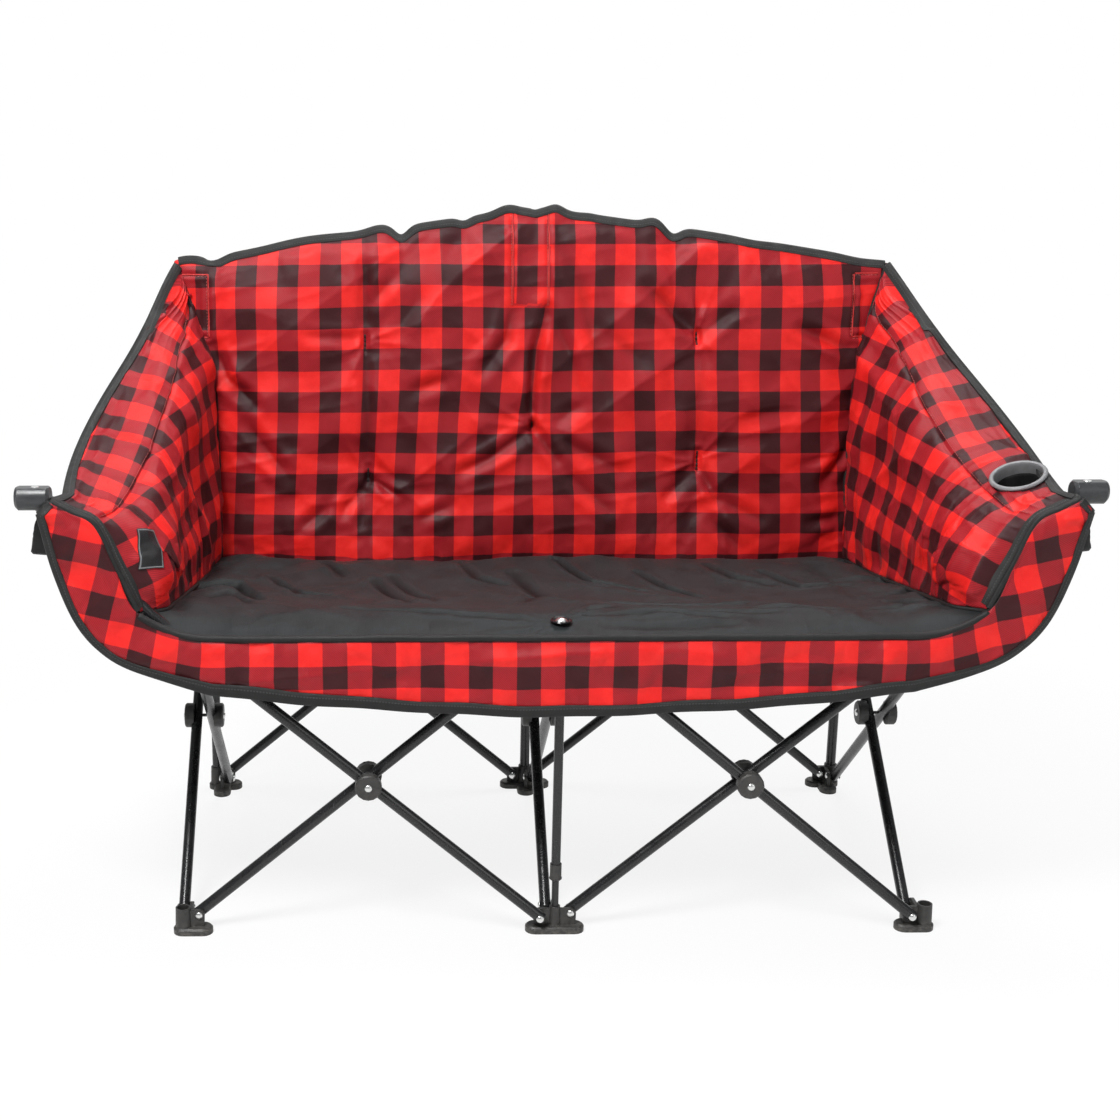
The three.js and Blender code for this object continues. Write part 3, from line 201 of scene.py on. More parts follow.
# %% [markdown]
# ## Moulded nylon
# Feet, hubs and top joints are dark grey nylon with a fine spark-eroded grain. Close to the ground they
# pick up dust, so the colour lifts slightly there.

# %% Nylon
def nylon(name, colour_low, colour_high, rough_low, rough_high, dusty=False):
    material, tree, shader = finish_named(name, IOR=1.48)
    place = place_of(tree)
    clouds = grain(tree, place, 60.0, 5.0, 0.65)
    colour = tint(tree, ramp(tree, clouds, 0.35, 0.65), (*colour_low, 1), (*colour_high, 1))
    if dusty:
        height = node(tree, "ShaderNodeSeparateXYZ", out=2, Vector=place)
        specks = ramp(tree, grain(tree, place, 180.0, 6.0), 0.42, 0.62)
        dust = times(tree, ramp(tree, height, 0.02, 0.0), specks)
        colour = tint(tree, times(tree, dust, 0.35), colour, (0.22, 0.20, 0.17, 1))
    coat(tree, shader, colour, ramp(tree, clouds, 0.3, 0.7, rough_low, rough_high))
    raise_by(tree, shader, grain(tree, place, 1600.0), 0.00012, 0.5)
    return material


# %% [markdown]
# ## Zinc rivets
# The rivets are bright zinc. Their heads were formed by a spinning tool, so they are smooth, with a slightly
# cloudy shine.

# %% Zinc
def zinc():
    material, tree, shader = finish_named("rivet_zinc", Metallic=1.0)
    place = place_of(tree)
    clouds = grain(tree, place, 260.0, 4.0)
    colour = tint(tree, clouds, (0.66, 0.67, 0.66, 1), (0.86, 0.87, 0.85, 1))
    coat(tree, shader, colour, ramp(tree, clouds, 0.3, 0.7, 0.22, 0.4))
    raise_by(tree, shader, grain(tree, place, 900.0), 0.00008, 0.4)
    return material


TUBE_BLACK = powder_coat()
NYLON = nylon("joint_plastic", (0.028, 0.027, 0.026), (0.05, 0.048, 0.046), 0.42, 0.58, dusty=True)
STUB_PLASTIC = nylon("arm_end_plastic", (0.03, 0.031, 0.033), (0.048, 0.05, 0.052), 0.3, 0.42)
RING_PLASTIC = nylon("ring_plastic", (0.16, 0.16, 0.165), (0.21, 0.21, 0.215), 0.32, 0.45)
BUTTON_PLASTIC = nylon("button_plastic", (0.012, 0.012, 0.013), (0.02, 0.02, 0.021), 0.12, 0.2)
ZINC = zinc()
HARD_FINISHES = (TUBE_BLACK, NYLON, STUB_PLASTIC, RING_PLASTIC, BUTTON_PLASTIC, ZINC)
print("hard finishes:", [m.name for m in HARD_FINISHES])

# %% [markdown]
# ## Checked cloth
# The cover is a woven polyester in a red and black buffalo check. Warp and weft stripes are each either
# red or black. Where both are red the square is bright, where both are black it is nearly black, and where
# they cross it is a deep red with a twill line. The stripes follow the cloth, so they read its UV map,
# which is in metres. Deep creases are marked on the mesh, and painted shade darkens the colour in them.

# %% Check cloth
CHECK = 0.0646
TWILL = 0.0031
CHECK_WEAVE = 0.0009


def cloth_place(tree):
    uv = node(tree, "ShaderNodeUVMap", props={"uv_map": "cloth"})
    u, v = (node(tree, "ShaderNodeSeparateXYZ", out=i, Vector=uv) for i in (0, 1))
    return uv, u, v


def paint_crease_shade(tree, colour, strength, dark):
    # Painted shade: the colour is mixed towards a dark tone where the crease mark is high.
    crease = node(tree, "ShaderNodeAttribute", out=2, props={"attribute_name": "crease"})
    return tint(tree, times(tree, crease, strength), colour, dark)


def stripe(tree, coordinate, wobble):
    checks = number(tree, "DIVIDE", coordinate, CHECK)
    share = number(tree, "FRACT", number(tree, "ADD", checks, wobble))
    return ramp(tree, off_by(tree, share, 0.5), 0.243, 0.257)


def weave_height(tree, u, v, pitch):
    return times(tree, sine(tree, u, pitch), sine(tree, v, pitch))


def check_cloth():
    material, tree, shader = finish_named("check_cloth", Sheen_Weight=0.02, Sheen_Roughness=0.4, IOR=1.32)
    uv, u, v = cloth_place(tree)
    wobble = ramp(tree, grain(tree, uv, 300.0), 0.0, 1.0, -0.006, 0.006)
    across = stripe(tree, u, wobble)
    up = stripe(tree, v, wobble)
    hatch = sine(tree, number(tree, "ADD", u, v), TWILL)
    fade = grain(tree, uv, 24.0, 5.0, 0.6)
    faded = ramp(tree, fade, 0.35, 0.65)
    red = tint(tree, faded, (0.68, 0.013, 0.011, 1), (0.80, 0.022, 0.018, 1))
    deep = tint(tree, faded, (0.33, 0.011, 0.017, 1), (0.40, 0.015, 0.021, 1))
    deep = tint(tree, ramp(tree, hatch, -0.5, 0.5, 0.0, 0.6), deep, (0.17, 0.006, 0.010, 1))
    dark = tint(tree, faded, (0.034, 0.0045, 0.006, 1), (0.048, 0.007, 0.009, 1))
    colour = tint(tree, number(tree, "MAXIMUM", across, up), red, deep)
    colour = tint(tree, times(tree, across, up), colour, dark)
    # Painted shade in the creases: the check darkens towards a near-black red there.
    colour = paint_crease_shade(tree, colour, 0.45, tint(tree, 0.8, colour, (0.01, 0, 0, 1)))
    coat(tree, shader, colour, ramp(tree, fade, 0.3, 0.7, 0.42, 0.54))
    fine = raise_by(tree, shader, weave_height(tree, u, v, CHECK_WEAVE), 0.00007, 0.55)
    raise_by(tree, shader, grain(tree, uv, 110.0, 5.0, 0.6), 0.0007, 0.35, onto=fine)
    return material


# %% [markdown]
# ## Plain cloths and tape
# The seat is a plain charcoal polyester that shines a little on each crease. The outside of the back is
# black. Edges are bound with ribbed tape, whose ribs run across it, so its pattern follows the length
# of the tape.

# %% Plain cloth and tape
PLAIN_WEAVE = 0.0011
RIB = 0.0014
TAPE_STITCH = 0.0042


def plain_cloth(name, low, high, rough_low, rough_high, pitch=PLAIN_WEAVE, ior=1.36):
    material, tree, shader = finish_named(name, Sheen_Weight=0.02, Sheen_Roughness=0.5, IOR=ior)
    uv, u, v = cloth_place(tree)
    fade = grain(tree, uv, 18.0, 6.0, 0.62)
    slubs = grain(tree, stretched(tree, uv, (1.0, 0.06, 1.0)), 900.0)
    bright = tuple(min(1, c * 1.9) for c in high)
    colour = tint(tree, ramp(tree, fade, 0.35, 0.65), (*low, 1), (*high, 1))
    colour = tint(tree, ramp(tree, slubs, 0.45, 0.7, 0.0, 0.3), colour, (*bright, 1))
    # Painted shade in the creases: the plain cloth darkens almost to black there.
    colour = paint_crease_shade(tree, colour, 0.9, (0.003, 0.003, 0.003, 1))
    coat(tree, shader, colour, ramp(tree, fade, 0.3, 0.7, rough_low, rough_high))
    fine = raise_by(tree, shader, weave_height(tree, u, v, pitch), 0.0001, 0.6)
    raise_by(tree, shader, grain(tree, uv, 90.0, 6.0, 0.62), 0.001, 0.4, onto=fine)
    return material


def tape(name, low, high):
    material, tree, shader = finish_named(name, Sheen_Weight=0.05, Sheen_Roughness=0.4)
    uv, u, v = cloth_place(tree)
    ribs = sine(tree, u, RIB)
    dash = number(tree, "FRACT", number(tree, "DIVIDE", u, TAPE_STITCH))
    on_dash = ramp(tree, off_by(tree, dash, 0.5), 0.33, 0.29)
    on_row = ramp(tree, off_by(tree, number(tree, "ABSOLUTE", v), 0.0042), 0.0008, 0.0004)
    stitch = times(tree, on_dash, on_row)
    fade = grain(tree, uv, 60.0, 5.0)
    colour = tint(tree, fade, (*low, 1), (*high, 1))
    shaded = tint(tree, 0.55, colour, (0, 0, 0, 1))
    colour = tint(tree, times(tree, ramp(tree, ribs, -1.0, 0.2), 0.5), shaded, colour)
    colour = tint(tree, times(tree, stitch, 0.55), colour, (0.06, 0.06, 0.06, 1))
    coat(tree, shader, colour, ramp(tree, fade, 0.3, 0.7, 0.55, 0.72))
    raise_by(tree, shader, number(tree, "ADD", ribs, times(tree, stitch, 2.5)), 0.00018, 0.7)
    return material


CHECK_CLOTH = check_cloth()
SEAT_CLOTH = plain_cloth("seat_cloth", (0.0135, 0.0160, 0.0165), (0.0215, 0.0245, 0.0255), 0.42, 0.54,
                         ior=1.24)
BLACK_CLOTH = plain_cloth("black_cloth", (0.009, 0.009, 0.009), (0.015, 0.015, 0.015), 0.5, 0.64)
TAPE = tape("binding_tape", (0.007, 0.007, 0.0065), (0.014, 0.014, 0.013))
THREAD = plain_cloth("thread", (0.012, 0.010, 0.010), (0.02, 0.018, 0.018), 0.5, 0.6)
SEAM_RED = plain_cloth("seam_red", (0.44, 0.02, 0.02), (0.62, 0.05, 0.045), 0.4, 0.5)
# Red thread whose colour is lifted to a pale red-grey: partly the thread's own colour, partly a painted
# highlight along the stitch rows.
THREAD_RED_AND_HIGHLIGHT = plain_cloth("thread_red_and_highlight", (0.34, 0.07, 0.07), (0.46, 0.12, 0.11), 0.5, 0.6)
CLOTHS = (CHECK_CLOTH, SEAT_CLOTH, BLACK_CLOTH, TAPE, THREAD, SEAM_RED, THREAD_RED_AND_HIGHLIGHT)
print("cloths:", [m.name for m in CLOTHS])

# %% [markdown]
# ## Making a piece
# Each shape is built in a bmesh. These helpers turn it into an object at the origin, give it its finish,
# and hang it on the CAD body that it moves with. The back folds up sideways as a whole. The arms, the seat,
# the band, the cup holder and the button hang on no body: their places are only baked into their meshes.

# %% Piece helpers
HANG_FRONT = -0.40
SIDES = {"right": 1, "left": -1}


def object_from(bm, name, materials, angle=None):
    mesh = bpy.data.meshes.new(name)
    bm.to_mesh(mesh)
    bm.free()
    for material in materials:
        mesh.materials.append(material)
    made = bpy.data.objects.new(name, mesh)
    scene.collection.objects.link(made)
    mesh.polygons.foreach_set("use_smooth", np.ones(len(mesh.polygons), bool))
    if angle is not None:
        mesh.set_sharp_from_angle(angle=math.radians(angle))
    return made


def closed_object(bm, name, materials, angle=None):
    """An object from a closed shape, with its normals turned outwards."""
    bmesh.ops.recalc_face_normals(bm, faces=bm.faces)
    return object_from(bm, name, materials, angle)


def settle(piece, body, stands_for=()):
    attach(piece, body)
    if stands_for:
        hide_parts(*stands_for)
    return piece


def bend_with(piece):
    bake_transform(piece)


def with_back(piece):
    settle(piece, "rear_centre_base")
    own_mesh(piece)
    return piece


def with_arm(piece):
    bend_with(piece)
    return piece


def frame_from(origin, along, up=Vector((0, 0, 1))):
    z = along.normalized()
    if abs(z.dot(up)) > 0.999:
        up = Vector((0, 1, 0))
    x = up.cross(z).normalized()
    y = z.cross(x)
    turn = Matrix((x, y, z)).transposed().to_4x4()
    turn.translation = origin
    return turn


# %% [markdown]
# ## Smooth tubes
# The CAD tubes have twelve flats. A drawn steel tube is round, so each is made again from a fine circle
# that is extruded along the same centre line. A moulded plug closes each open end.

# %% Tubes
PIN_SPAN, PIN_RISE, PIN_HEIGHT = 0.478, 0.402, 0.026
POST_X, ROW_Y, SIDE_X = 0.522, 0.264, 0.512
AXIS_OFFSET, TUBE_R, TUBE_TAIL = 0.011, 0.008, 0.004
ROD_R, SLEEVE_R, SLEEVE_BOTTOM, SLEEVE_RISE, ROD_TOP = 0.005, 0.0065, 0.086, 0.008, 0.42
POST_BOTTOM, CORNER_POST_TOP, CENTRE_POST_TOP = 0.0083, 0.884, 0.962
ARM_STRAIGHT, BEND_RADIUS, ARM_RISE = 0.060, 0.090, 0.196
LINK = math.hypot(PIN_SPAN, PIN_RISE)
OPEN = math.atan2(PIN_RISE, PIN_SPAN)
TOP_PIN_Z = PIN_HEIGHT + PIN_RISE
CROSS_Z = PIN_HEIGHT + PIN_RISE / 2
BEND = math.radians(8)
BEND_STEPS = 8
RIGHT, LEFT, BACK, FRONT = Vector((1, 0, 0)), Vector((-1, 0, 0)), Vector((0, 1, 0)), Vector((0, -1, 0))
UP = Vector((0, 0, 1))
ROW_PLACES = {"front": -ROW_Y, "rear": ROW_Y}
BAY_MIDDLES = {"left": -POST_X / 2, "right": POST_X / 2}
SIDE_PLACES = {"left": -SIDE_X, "centre": 0.0, "right": SIDE_X}


def lean(along, angle=OPEN):
    return along * math.cos(angle) + UP * math.sin(angle)


def run_tube(name, line, radius, plug_fit=1.0, sides=28):
    bm = bmesh.new()
    ring = bmesh.ops.create_circle(bm, cap_ends=False, segments=sides, radius=radius)["verts"]
    ring = sorted(ring, key=lambda v: math.atan2(v.co.y, v.co.x))
    edges = list(dict.fromkeys(e for v in ring for e in v.link_edges))
    profile = [v.co.copy() for v in ring]
    frames = []
    for i, point in enumerate(line):
        along = line[min(i + 1, len(line) - 1)] - line[max(i - 1, 0)]
        frames.append(frame_from(point, along, BACK if abs(along.normalized().y) < 0.5 else UP))
    for i, place in enumerate(frames):
        if i:
            made = bmesh.ops.extrude_edge_only(bm, edges=edges)["geom"]
            verts = [g for g in made if isinstance(g, bmesh.types.BMVert)]
            edges = [g for g in made if isinstance(g, bmesh.types.BMEdge)]
            order = {tuple(round(c, 6) for c in v.co): v for v in verts}
            ring = [order[tuple(round(c, 6) for c in v.co)] for v in ring]
        for v, flat in zip(ring, profile):
            v.co = place @ flat
    for place in (frames[0], frames[-1]):
        squeezed = place @ Matrix.Diagonal((1, 1, 0.22, 1))
        ball = bmesh.ops.create_uvsphere(bm, u_segments=16, v_segments=8, radius=radius * plug_fit,
                                         matrix=squeezed)
        for v in ball["verts"]:
            for f in v.link_faces:
                f.material_index = 1
    return closed_object(bm, name, [TUBE_BLACK, NYLON], angle=40)


def scissor_line(pin, along, is_arm=False):
    start = pin - lean(along) * TUBE_TAIL
    top = pin + lean(along) * LINK
    if not is_arm:
        return [start, top + lean(along) * TUBE_TAIL]
    line = [start, top + lean(along) * ARM_STRAIGHT]
    for i in range(1, BEND_STEPS + 1):
        angle = OPEN + BEND * (i - 0.5) / BEND_STEPS
        line.append(line[-1] + lean(along, angle) * (BEND_RADIUS * BEND / BEND_STEPS))
    return line + [line[-1] + lean(along, OPEN + BEND) * ARM_RISE]


def tube_lines():
    """The centre line of each tube and post, by the name of its CAD node."""
    made = {}
    for row, y in ROW_PLACES.items():
        for bay, middle in BAY_MIDDLES.items():
            for foot, along, side in (("left", RIGHT, BACK), ("right", LEFT, FRONT)):
                x = middle + (-1 if foot == "left" else 1) * PIN_SPAN / 2
                ends = "centre_foot" if foot != bay else "corner_foot"
                pin = Vector((x, y, PIN_HEIGHT)) + side * AXIS_OFFSET
                made[f"{row}_{bay}_tube_{ends}"] = scissor_line(pin, along, row == "front" and foot != bay)
    for column, x in SIDE_PLACES.items():
        for foot, way, along, side in (("front", -1, BACK, LEFT), ("rear", 1, FRONT, RIGHT)):
            pin = Vector((x, way * PIN_SPAN / 2, PIN_HEIGHT)) + side * AXIS_OFFSET
            made[f"{column}_side_tube_{foot}_foot"] = scissor_line(pin, along)
    for column, x in (("left", -POST_X), ("centre", 0.0), ("right", POST_X)):
        top = CENTRE_POST_TOP if column == "centre" else CORNER_POST_TOP
        made[f"rear_{column}_post"] = [Vector((x, ROW_Y, POST_BOTTOM)), Vector((x, ROW_Y, top))]
    return made


TUBE_LINES = tube_lines()
for name, line in TUBE_LINES.items():
    settle(run_tube(name + "_round", line, TUBE_R), BODY_OF[name], [name])
for part, bottom, top, radius, fit in (("rod", POST_BOTTOM, ROD_TOP, ROD_R, 1.0),
                                       ("sleeve", SLEEVE_BOTTOM, TOP_PIN_Z + SLEEVE_RISE, SLEEVE_R, 0.985)):
    line = [Vector((0, -ROW_Y, bottom)), Vector((0, -ROW_Y, top))]
    piece = run_tube(f"post_{part}_round", line, radius, fit)
    settle(piece, BODY_OF[f"front_post_{part}"], [f"front_post_{part}"])
print("tubes:", len(TUBE_LINES) + 2)

# %% [markdown]
# ## Moulded joints
# Feet, top joints, hub discs and the post's collar keep the CAD shape. A moulding has no knife edges,
# so a copy of each is welded, cleaned of its loose triangles and given a small round on every sharp edge.

# %% Mouldings
JOINT_ENDINGS = ("_foot", "_slider", "_top_joint", "_hub_back", "_hub_face", "_hub_left", "_hub_right",
                 "_collar")


def moulded(name, material, radius=0.0007):
    bm = bmesh.new()
    bm.from_mesh(frame["nodes"][name].data)
    bmesh.ops.remove_doubles(bm, verts=bm.verts, dist=2e-6)
    bmesh.ops.dissolve_limit(bm, angle_limit=math.radians(2), verts=bm.verts, edges=bm.edges)
    piece = object_from(bm, name + "_moulded", [material], angle=32)
    rounding = piece.modifiers.new("rounding", "BEVEL")
    rounding.width = radius
    rounding.segments = 2
    rounding.limit_method = "ANGLE"
    rounding.angle_limit = math.radians(34)
    rounding.harden_normals = False
    return settle(piece, BODY_OF[name], [name])


JOINTS = [n for n in frame["nodes"] if n.endswith(JOINT_ENDINGS) and "_tube_" not in n]
for name in JOINTS:
    moulded(name, NYLON)
for name in ("left_arm_end", "right_arm_end"):
    moulded(name, STUB_PLASTIC, 0.0015)
print("mouldings:", len(JOINTS) + 2)

# %% [markdown]
# ## Rivets
# A bright rivet head shows at each pin. Each is a low dome with a rim, spun from its profile, and it
# sits over the plain head of the moulding.

# %% Rivets
RIVET_PROFILE = [(0.0, 0.0026), (0.0022, 0.0024), (0.0042, 0.0016), (0.0053, 0.0005), (0.0054, 0.0)]
OUTER_HEAD = AXIS_OFFSET + TUBE_R + 0.0003
INNER_HEAD = 0.0025
ROW_REACH, SIDE_REACH, PLATE_INSET = 0.022, 0.025, 0.010
DISC_OUT = 0.029
HUB_SIDES = {"left": LEFT, "right": RIGHT, "back": BACK, "face": FRONT}


def spin_profile(bm, profile, place, steps=24):
    verts = [bm.verts.new((r, 0, h)) for r, h in profile]
    edges = [bm.edges.new(pair) for pair in zip(verts, verts[1:])]
    bmesh.ops.spin(bm, geom=verts + edges, cent=(0, 0, 0), axis=(0, 0, 1), angle=2 * math.pi, steps=steps,
                   use_merge=True)
    bmesh.ops.remove_doubles(bm, verts=[v for v in bm.verts if not v.tag], dist=1e-6)
    new = [v for v in bm.verts if not v.tag]
    bmesh.ops.transform(bm, matrix=place, verts=new)
    for v in new:
        v.tag = True


def rivets(name, heads, body):
    bm = bmesh.new()
    for point, out in heads:
        spin_profile(bm, RIVET_PROFILE, frame_from(point, out))
    return settle(closed_object(bm, name, [ZINC], angle=50), body)


def foot_heads(column, row):
    """Where the rivet heads of one foot sit, and which way each looks."""
    x, y = {"left": -POST_X, "centre": 0.0, "right": POST_X}[column], ROW_PLACES[row]
    inset = {"left": PLATE_INSET, "centre": 0.0, "right": -PLATE_INSET}[column]
    ears = []
    if column != "right":
        ears.append((RIGHT, ROW_REACH, 0.0, BACK))
    if column != "left":
        ears.append((LEFT, ROW_REACH, 0.0, FRONT))
    ears.append((BACK, SIDE_REACH, inset, LEFT) if row == "front" else (FRONT, SIDE_REACH, inset, RIGHT))
    heads = []
    for along, reach, dx, side in ears:
        pin = Vector((x + dx, y, PIN_HEIGHT)) + along * reach
        heads += [(pin + side * OUTER_HEAD, side), (pin - side * INNER_HEAD, -side)]
    return heads


count = 0
for row in ROW_PLACES:
    for column in SIDE_PLACES:
        heads = foot_heads(column, row)
        count += len(heads)
        rivets(f"{row}_{column}_foot_rivets", heads, BODY_OF[f"{row}_{column}_foot"])
for name in [n for n in JOINTS if "_hub_" in n]:
    first, second, _, facing_side = name.split("_")
    side = HUB_SIDES[facing_side]
    if second == "side":
        centre = Vector((SIDE_PLACES[first], 0, CROSS_Z))
    else:
        centre = Vector((BAY_MIDDLES[second], ROW_PLACES[first], CROSS_Z))
    rivets(name + "_rivet", [(centre + side * DISC_OUT, side)], BODY_OF[name])
    count += 1
print("rivet heads:", count)

# %% [markdown]
# ## The cover's surfaces
# Each panel of the cover is sewn along known lines, so its middle surface is a formula over u and v from
# 0 to 1. The back rises to the middle post, and the arms run through guide curves from the rolled edge,
# over the ridge seam, down to the seat. Formulas keep every panel, tape and stitch in step.

# %% Panel surfaces
EDGE_T, SEW_GAP = 0.006, 0.0008
SEAT_FRONT_Y, SEAT_REAR_Y = -0.2887, 0.189
SEAT_FRONT_HALF, SEAT_REAR_HALF, BACK_CORNER_X = 0.538, 0.504, 0.544
CORNER_Z, PEAK_Z, BACK_BOTTOM_Z = 0.884, 0.966, 0.409
SEAT_FLARE, RIDGE_FLARE, TIP_FLARE, FLARE_REACH = 0.028, 0.016, 0.018, 0.10
RIM_DIPS = [(-0.530, -0.006, 0.026), (-0.488, 0.008, 0.015), (-0.360, -0.007, 0.075), (-0.244, -0.006, 0.024),
            (-0.21, 0.014, 0.015), (-0.112, 0.006, 0.013), (-0.045, -0.009, 0.022), (-0.002, 0.003, 0.008),
            (0.030, -0.008, 0.015), (0.082, -0.001, 0.012), (0.183, -0.008, 0.018), (0.213, 0.012, 0.016),
            (0.34, 0.002, 0.03), (0.50, 0.003, 0.03)]
CORNER_OUT, RIGHT_CORNER_OUT, CORNER_SHARE = 0.020, 0.010, 0.12
SEAT_FRONT_Z, SEAT_REAR_Z, SEAT_FLAT_HALF, SEAT_CORNER = 0.446, 0.411, 0.445, 0.093
SEAT_WAVES = ((-0.46, 0.013, 0.07), (0.02, 0.007, 0.09), (0.47, 0.009, 0.06))
ARM_TIP, ARM_RIDGE_TIP, ARM_SEAM_Z, ARM_LOW_Z = (0.655, 0.628), (0.603, 0.600), 0.472, 0.4166
ARM_BELLY, ARM_CROWN = 0.058, 0.006


def mix(a, b, t):
    return a + (b - a) * t


def unit(vectors):
    return vectors / np.linalg.norm(vectors, axis=-1, keepdims=True)


def soft_step(t):
    t = np.clip(t, 0, 1)
    return t * t * (3 - 2 * t)


def points(x, y, z):
    return np.stack(np.broadcast_arrays(x, y, z), axis=-1).astype(float)


def flare(s):
    """How far the front edge of the seat and the arms turns outwards, with s = 0 at the edge."""
    return soft_step(1 - np.asarray(s) / FLARE_REACH)


def corner_share(z):
    """How strongly a rear corner is drawn out by its tight binding, by height."""
    return soft_step((z - 0.73) / 0.15)


def back_half(v):
    return mix(SEAT_REAR_HALF, BACK_CORNER_X, np.clip(v, 0, 1) ** 3)


def back_mid(v):
    return mix(SEAT_REAR_Y + SEW_GAP + EDGE_T / 2, 0.245, np.clip(v, 0, 1) ** 0.8)


def back_surface(u, v):
    x = (2 * u - 1) * back_half(v)
    top = mix(CORNER_Z, PEAK_Z, 1 - np.abs(2 * u - 1) ** 1.15)
    for centre, depth, width in RIM_DIPS:
        top = top - depth * np.exp(-((x - centre) / width) ** 2)
    hollow = 0.010 * np.sin(np.pi * v) * np.sin(2 * np.pi * u) ** 2
    drawn = corner_share(mix(BACK_BOTTOM_Z, CORNER_Z, v))
    left, right = soft_step(1 - u / CORNER_SHARE), soft_step(1 - (1 - u) / CORNER_SHARE)
    x = x - drawn * (CORNER_OUT * left - RIGHT_CORNER_OUT * right)
    return points(x, back_mid(v) - hollow * v, mix(BACK_BOTTOM_Z, top, v))


def seat_surface(u, v):
    half = mix(SEAT_FRONT_HALF, SEAT_REAR_HALF, v) + SEAT_FLARE * flare(v)
    x = (2 * u - 1) * half
    past = np.clip((np.abs(2 * u - 1) * SEAT_FRONT_HALF - SEAT_FLAT_HALF) / SEAT_CORNER, 0, None)
    lip = 0.009 * soft_step(1 - v / 0.06) * (1 - np.clip(past, 0, 1) ** 2)
    across = mix(SEAT_FRONT_HALF, SEAT_REAR_HALF, v) * (2 * u - 1)
    waves = sum(rise * np.exp(-((across - at) / wide) ** 2) for at, rise, wide in SEAT_WAVES)
    level = mix(SEAT_FRONT_Z + 0.026 * past ** 2, SEAT_REAR_Z, v) - lip + waves * soft_step((v - 0.7) / 0.3)
    sag = 0.014 * np.sin(np.pi * v) ** 2 * (1 - (2 * u - 1) ** 4)
    return points(x, mix(SEAT_FRONT_Y, SEAT_REAR_Y, v), level - sag)


def arm_rear(v):
    return points(back_half(v) - EDGE_T / 2, back_mid(v) - EDGE_T / 2 - SEW_GAP - 0.005 * v ** 4,
                  mix(ARM_LOW_Z, CORNER_Z, v))


def through(guides, t):
    """A smooth curve through guide points, with its bends eased by their spacing."""
    guides = [2 * guides[0] - guides[1], *guides, 2 * guides[-1] - guides[-2]]
    spans = len(guides) - 3
    result = np.zeros_like(guides[0])
    place = np.clip(t, 0, 1) * spans
    for i in range(spans):
        p0, p1, p2, p3 = guides[i:i + 4]
        d0, d1, d2 = (np.sqrt(np.linalg.norm(b - a, axis=-1, keepdims=True))
                      for a, b in ((p0, p1), (p1, p2), (p2, p3)))
        t1 = ((p1 - p0) / d0 - (p2 - p0) / (d0 + d1) + (p2 - p1) / d1) * d1
        t2 = ((p2 - p1) / d1 - (p3 - p1) / (d1 + d2) + (p3 - p2) / d2) * d1
        s = np.clip(place - i, 0, 1)[..., None]
        value = p1 + t1 * s + (3 * (p2 - p1) - 2 * t1 - t2) * s ** 2 + (2 * (p1 - p2) + t1 + t2) * s ** 3
        inside = (place >= i) & ((place < i + 1) | (i == spans - 1))
        result = np.where(inside[..., None], value, result)
    return result


def arm_surface(u, v, side=1):
    u, v = np.broadcast_arrays(np.asarray(u, float), np.asarray(v, float))
    s = 1 - u
    rear = arm_rear(np.array(1.0))
    low_rear = arm_rear(np.array(1 - 0.042 / (CORNER_Z - BACK_BOTTOM_Z)))
    edge_x = mix(ARM_TIP[0], rear[0], s) + ARM_BELLY * np.sin(np.pi * s) + TIP_FLARE * flare(s * 1.6)
    edge = points(edge_x, mix(SEAT_FRONT_Y, rear[1], s), mix(ARM_TIP[1], rear[2], s ** 2))
    ridge_x = mix(ARM_RIDGE_TIP[0], low_rear[0], s) + RIDGE_FLARE * flare(s)
    ridge = points(ridge_x, mix(SEAT_FRONT_Y, low_rear[1], s), mix(ARM_RIDGE_TIP[1], low_rear[2], s ** 1.9))
    seam_x = mix(SEAT_FRONT_HALF, SEAT_REAR_HALF, s) - EDGE_T / 2 + SEAT_FLARE * flare(s)
    seam_z = mix(ARM_SEAM_Z, SEAT_REAR_Z, s) + 0.0056
    seam = points(seam_x, mix(SEAT_FRONT_Y, arm_rear(np.array(0.0))[1], s), seam_z)
    upper = (edge + ridge) / 2
    upper[..., 2] += ARM_CROWN * np.sin(np.pi * u)
    found = through([edge, upper, ridge, (ridge + seam) / 2, seam], v)
    height = np.clip((found[..., 2] - ARM_LOW_Z) / (CORNER_Z - ARM_LOW_Z), 0, 1)
    pull = arm_rear(height) - found
    found[..., :2] += pull[..., :2] * (soft_step((s - 0.8) / 0.2) * (v > 0))[..., None]
    drawn = corner_share(found[..., 2]) * soft_step((s - 0.55) / 0.45)
    found[..., 0] += (CORNER_OUT if side < 0 else RIGHT_CORNER_OUT) * drawn
    return found * np.array([side, 1, 1])


def left_arm_surface(u, v):
    return arm_surface(u, v, -1)


BAND_Y = SEAT_FRONT_Y - SEW_GAP - EDGE_T / 2
BAND_TOP = [(0.4708, 0.449), (0.563, 0.4776), (0.591, 0.5388), (0.619, 0.600), (0.646, 0.614), (0.673, 0.628)]
BAND_LOW = [(0.4708, 0.368), (0.5805, 0.4024), (0.616, 0.428), (0.643, 0.463), (0.669, 0.53), (0.688, 0.612)]
BAND_END = 0.27


def band_line(guides, middle_low, s):
    """One edge of the front band, s from the left tip to the right one."""
    out = np.abs(2 * s - 1)
    tip = np.clip((out - (1 - 2 * BAND_END)) / (2 * BAND_END), 0, 1)
    curve = through([np.array([[x, BAND_Y, z]]) for x, z in guides], tip)
    x = np.where(tip > 0, curve[..., 0], out / (1 - 2 * BAND_END) * guides[0][0])
    sag = mix(guides[0][1], middle_low, np.sin(np.pi * (x / guides[0][0] + 1) / 2))
    z = np.where(tip > 0, curve[..., 2], sag)
    return points(np.sign(2 * s - 1) * x, BAND_Y, z)


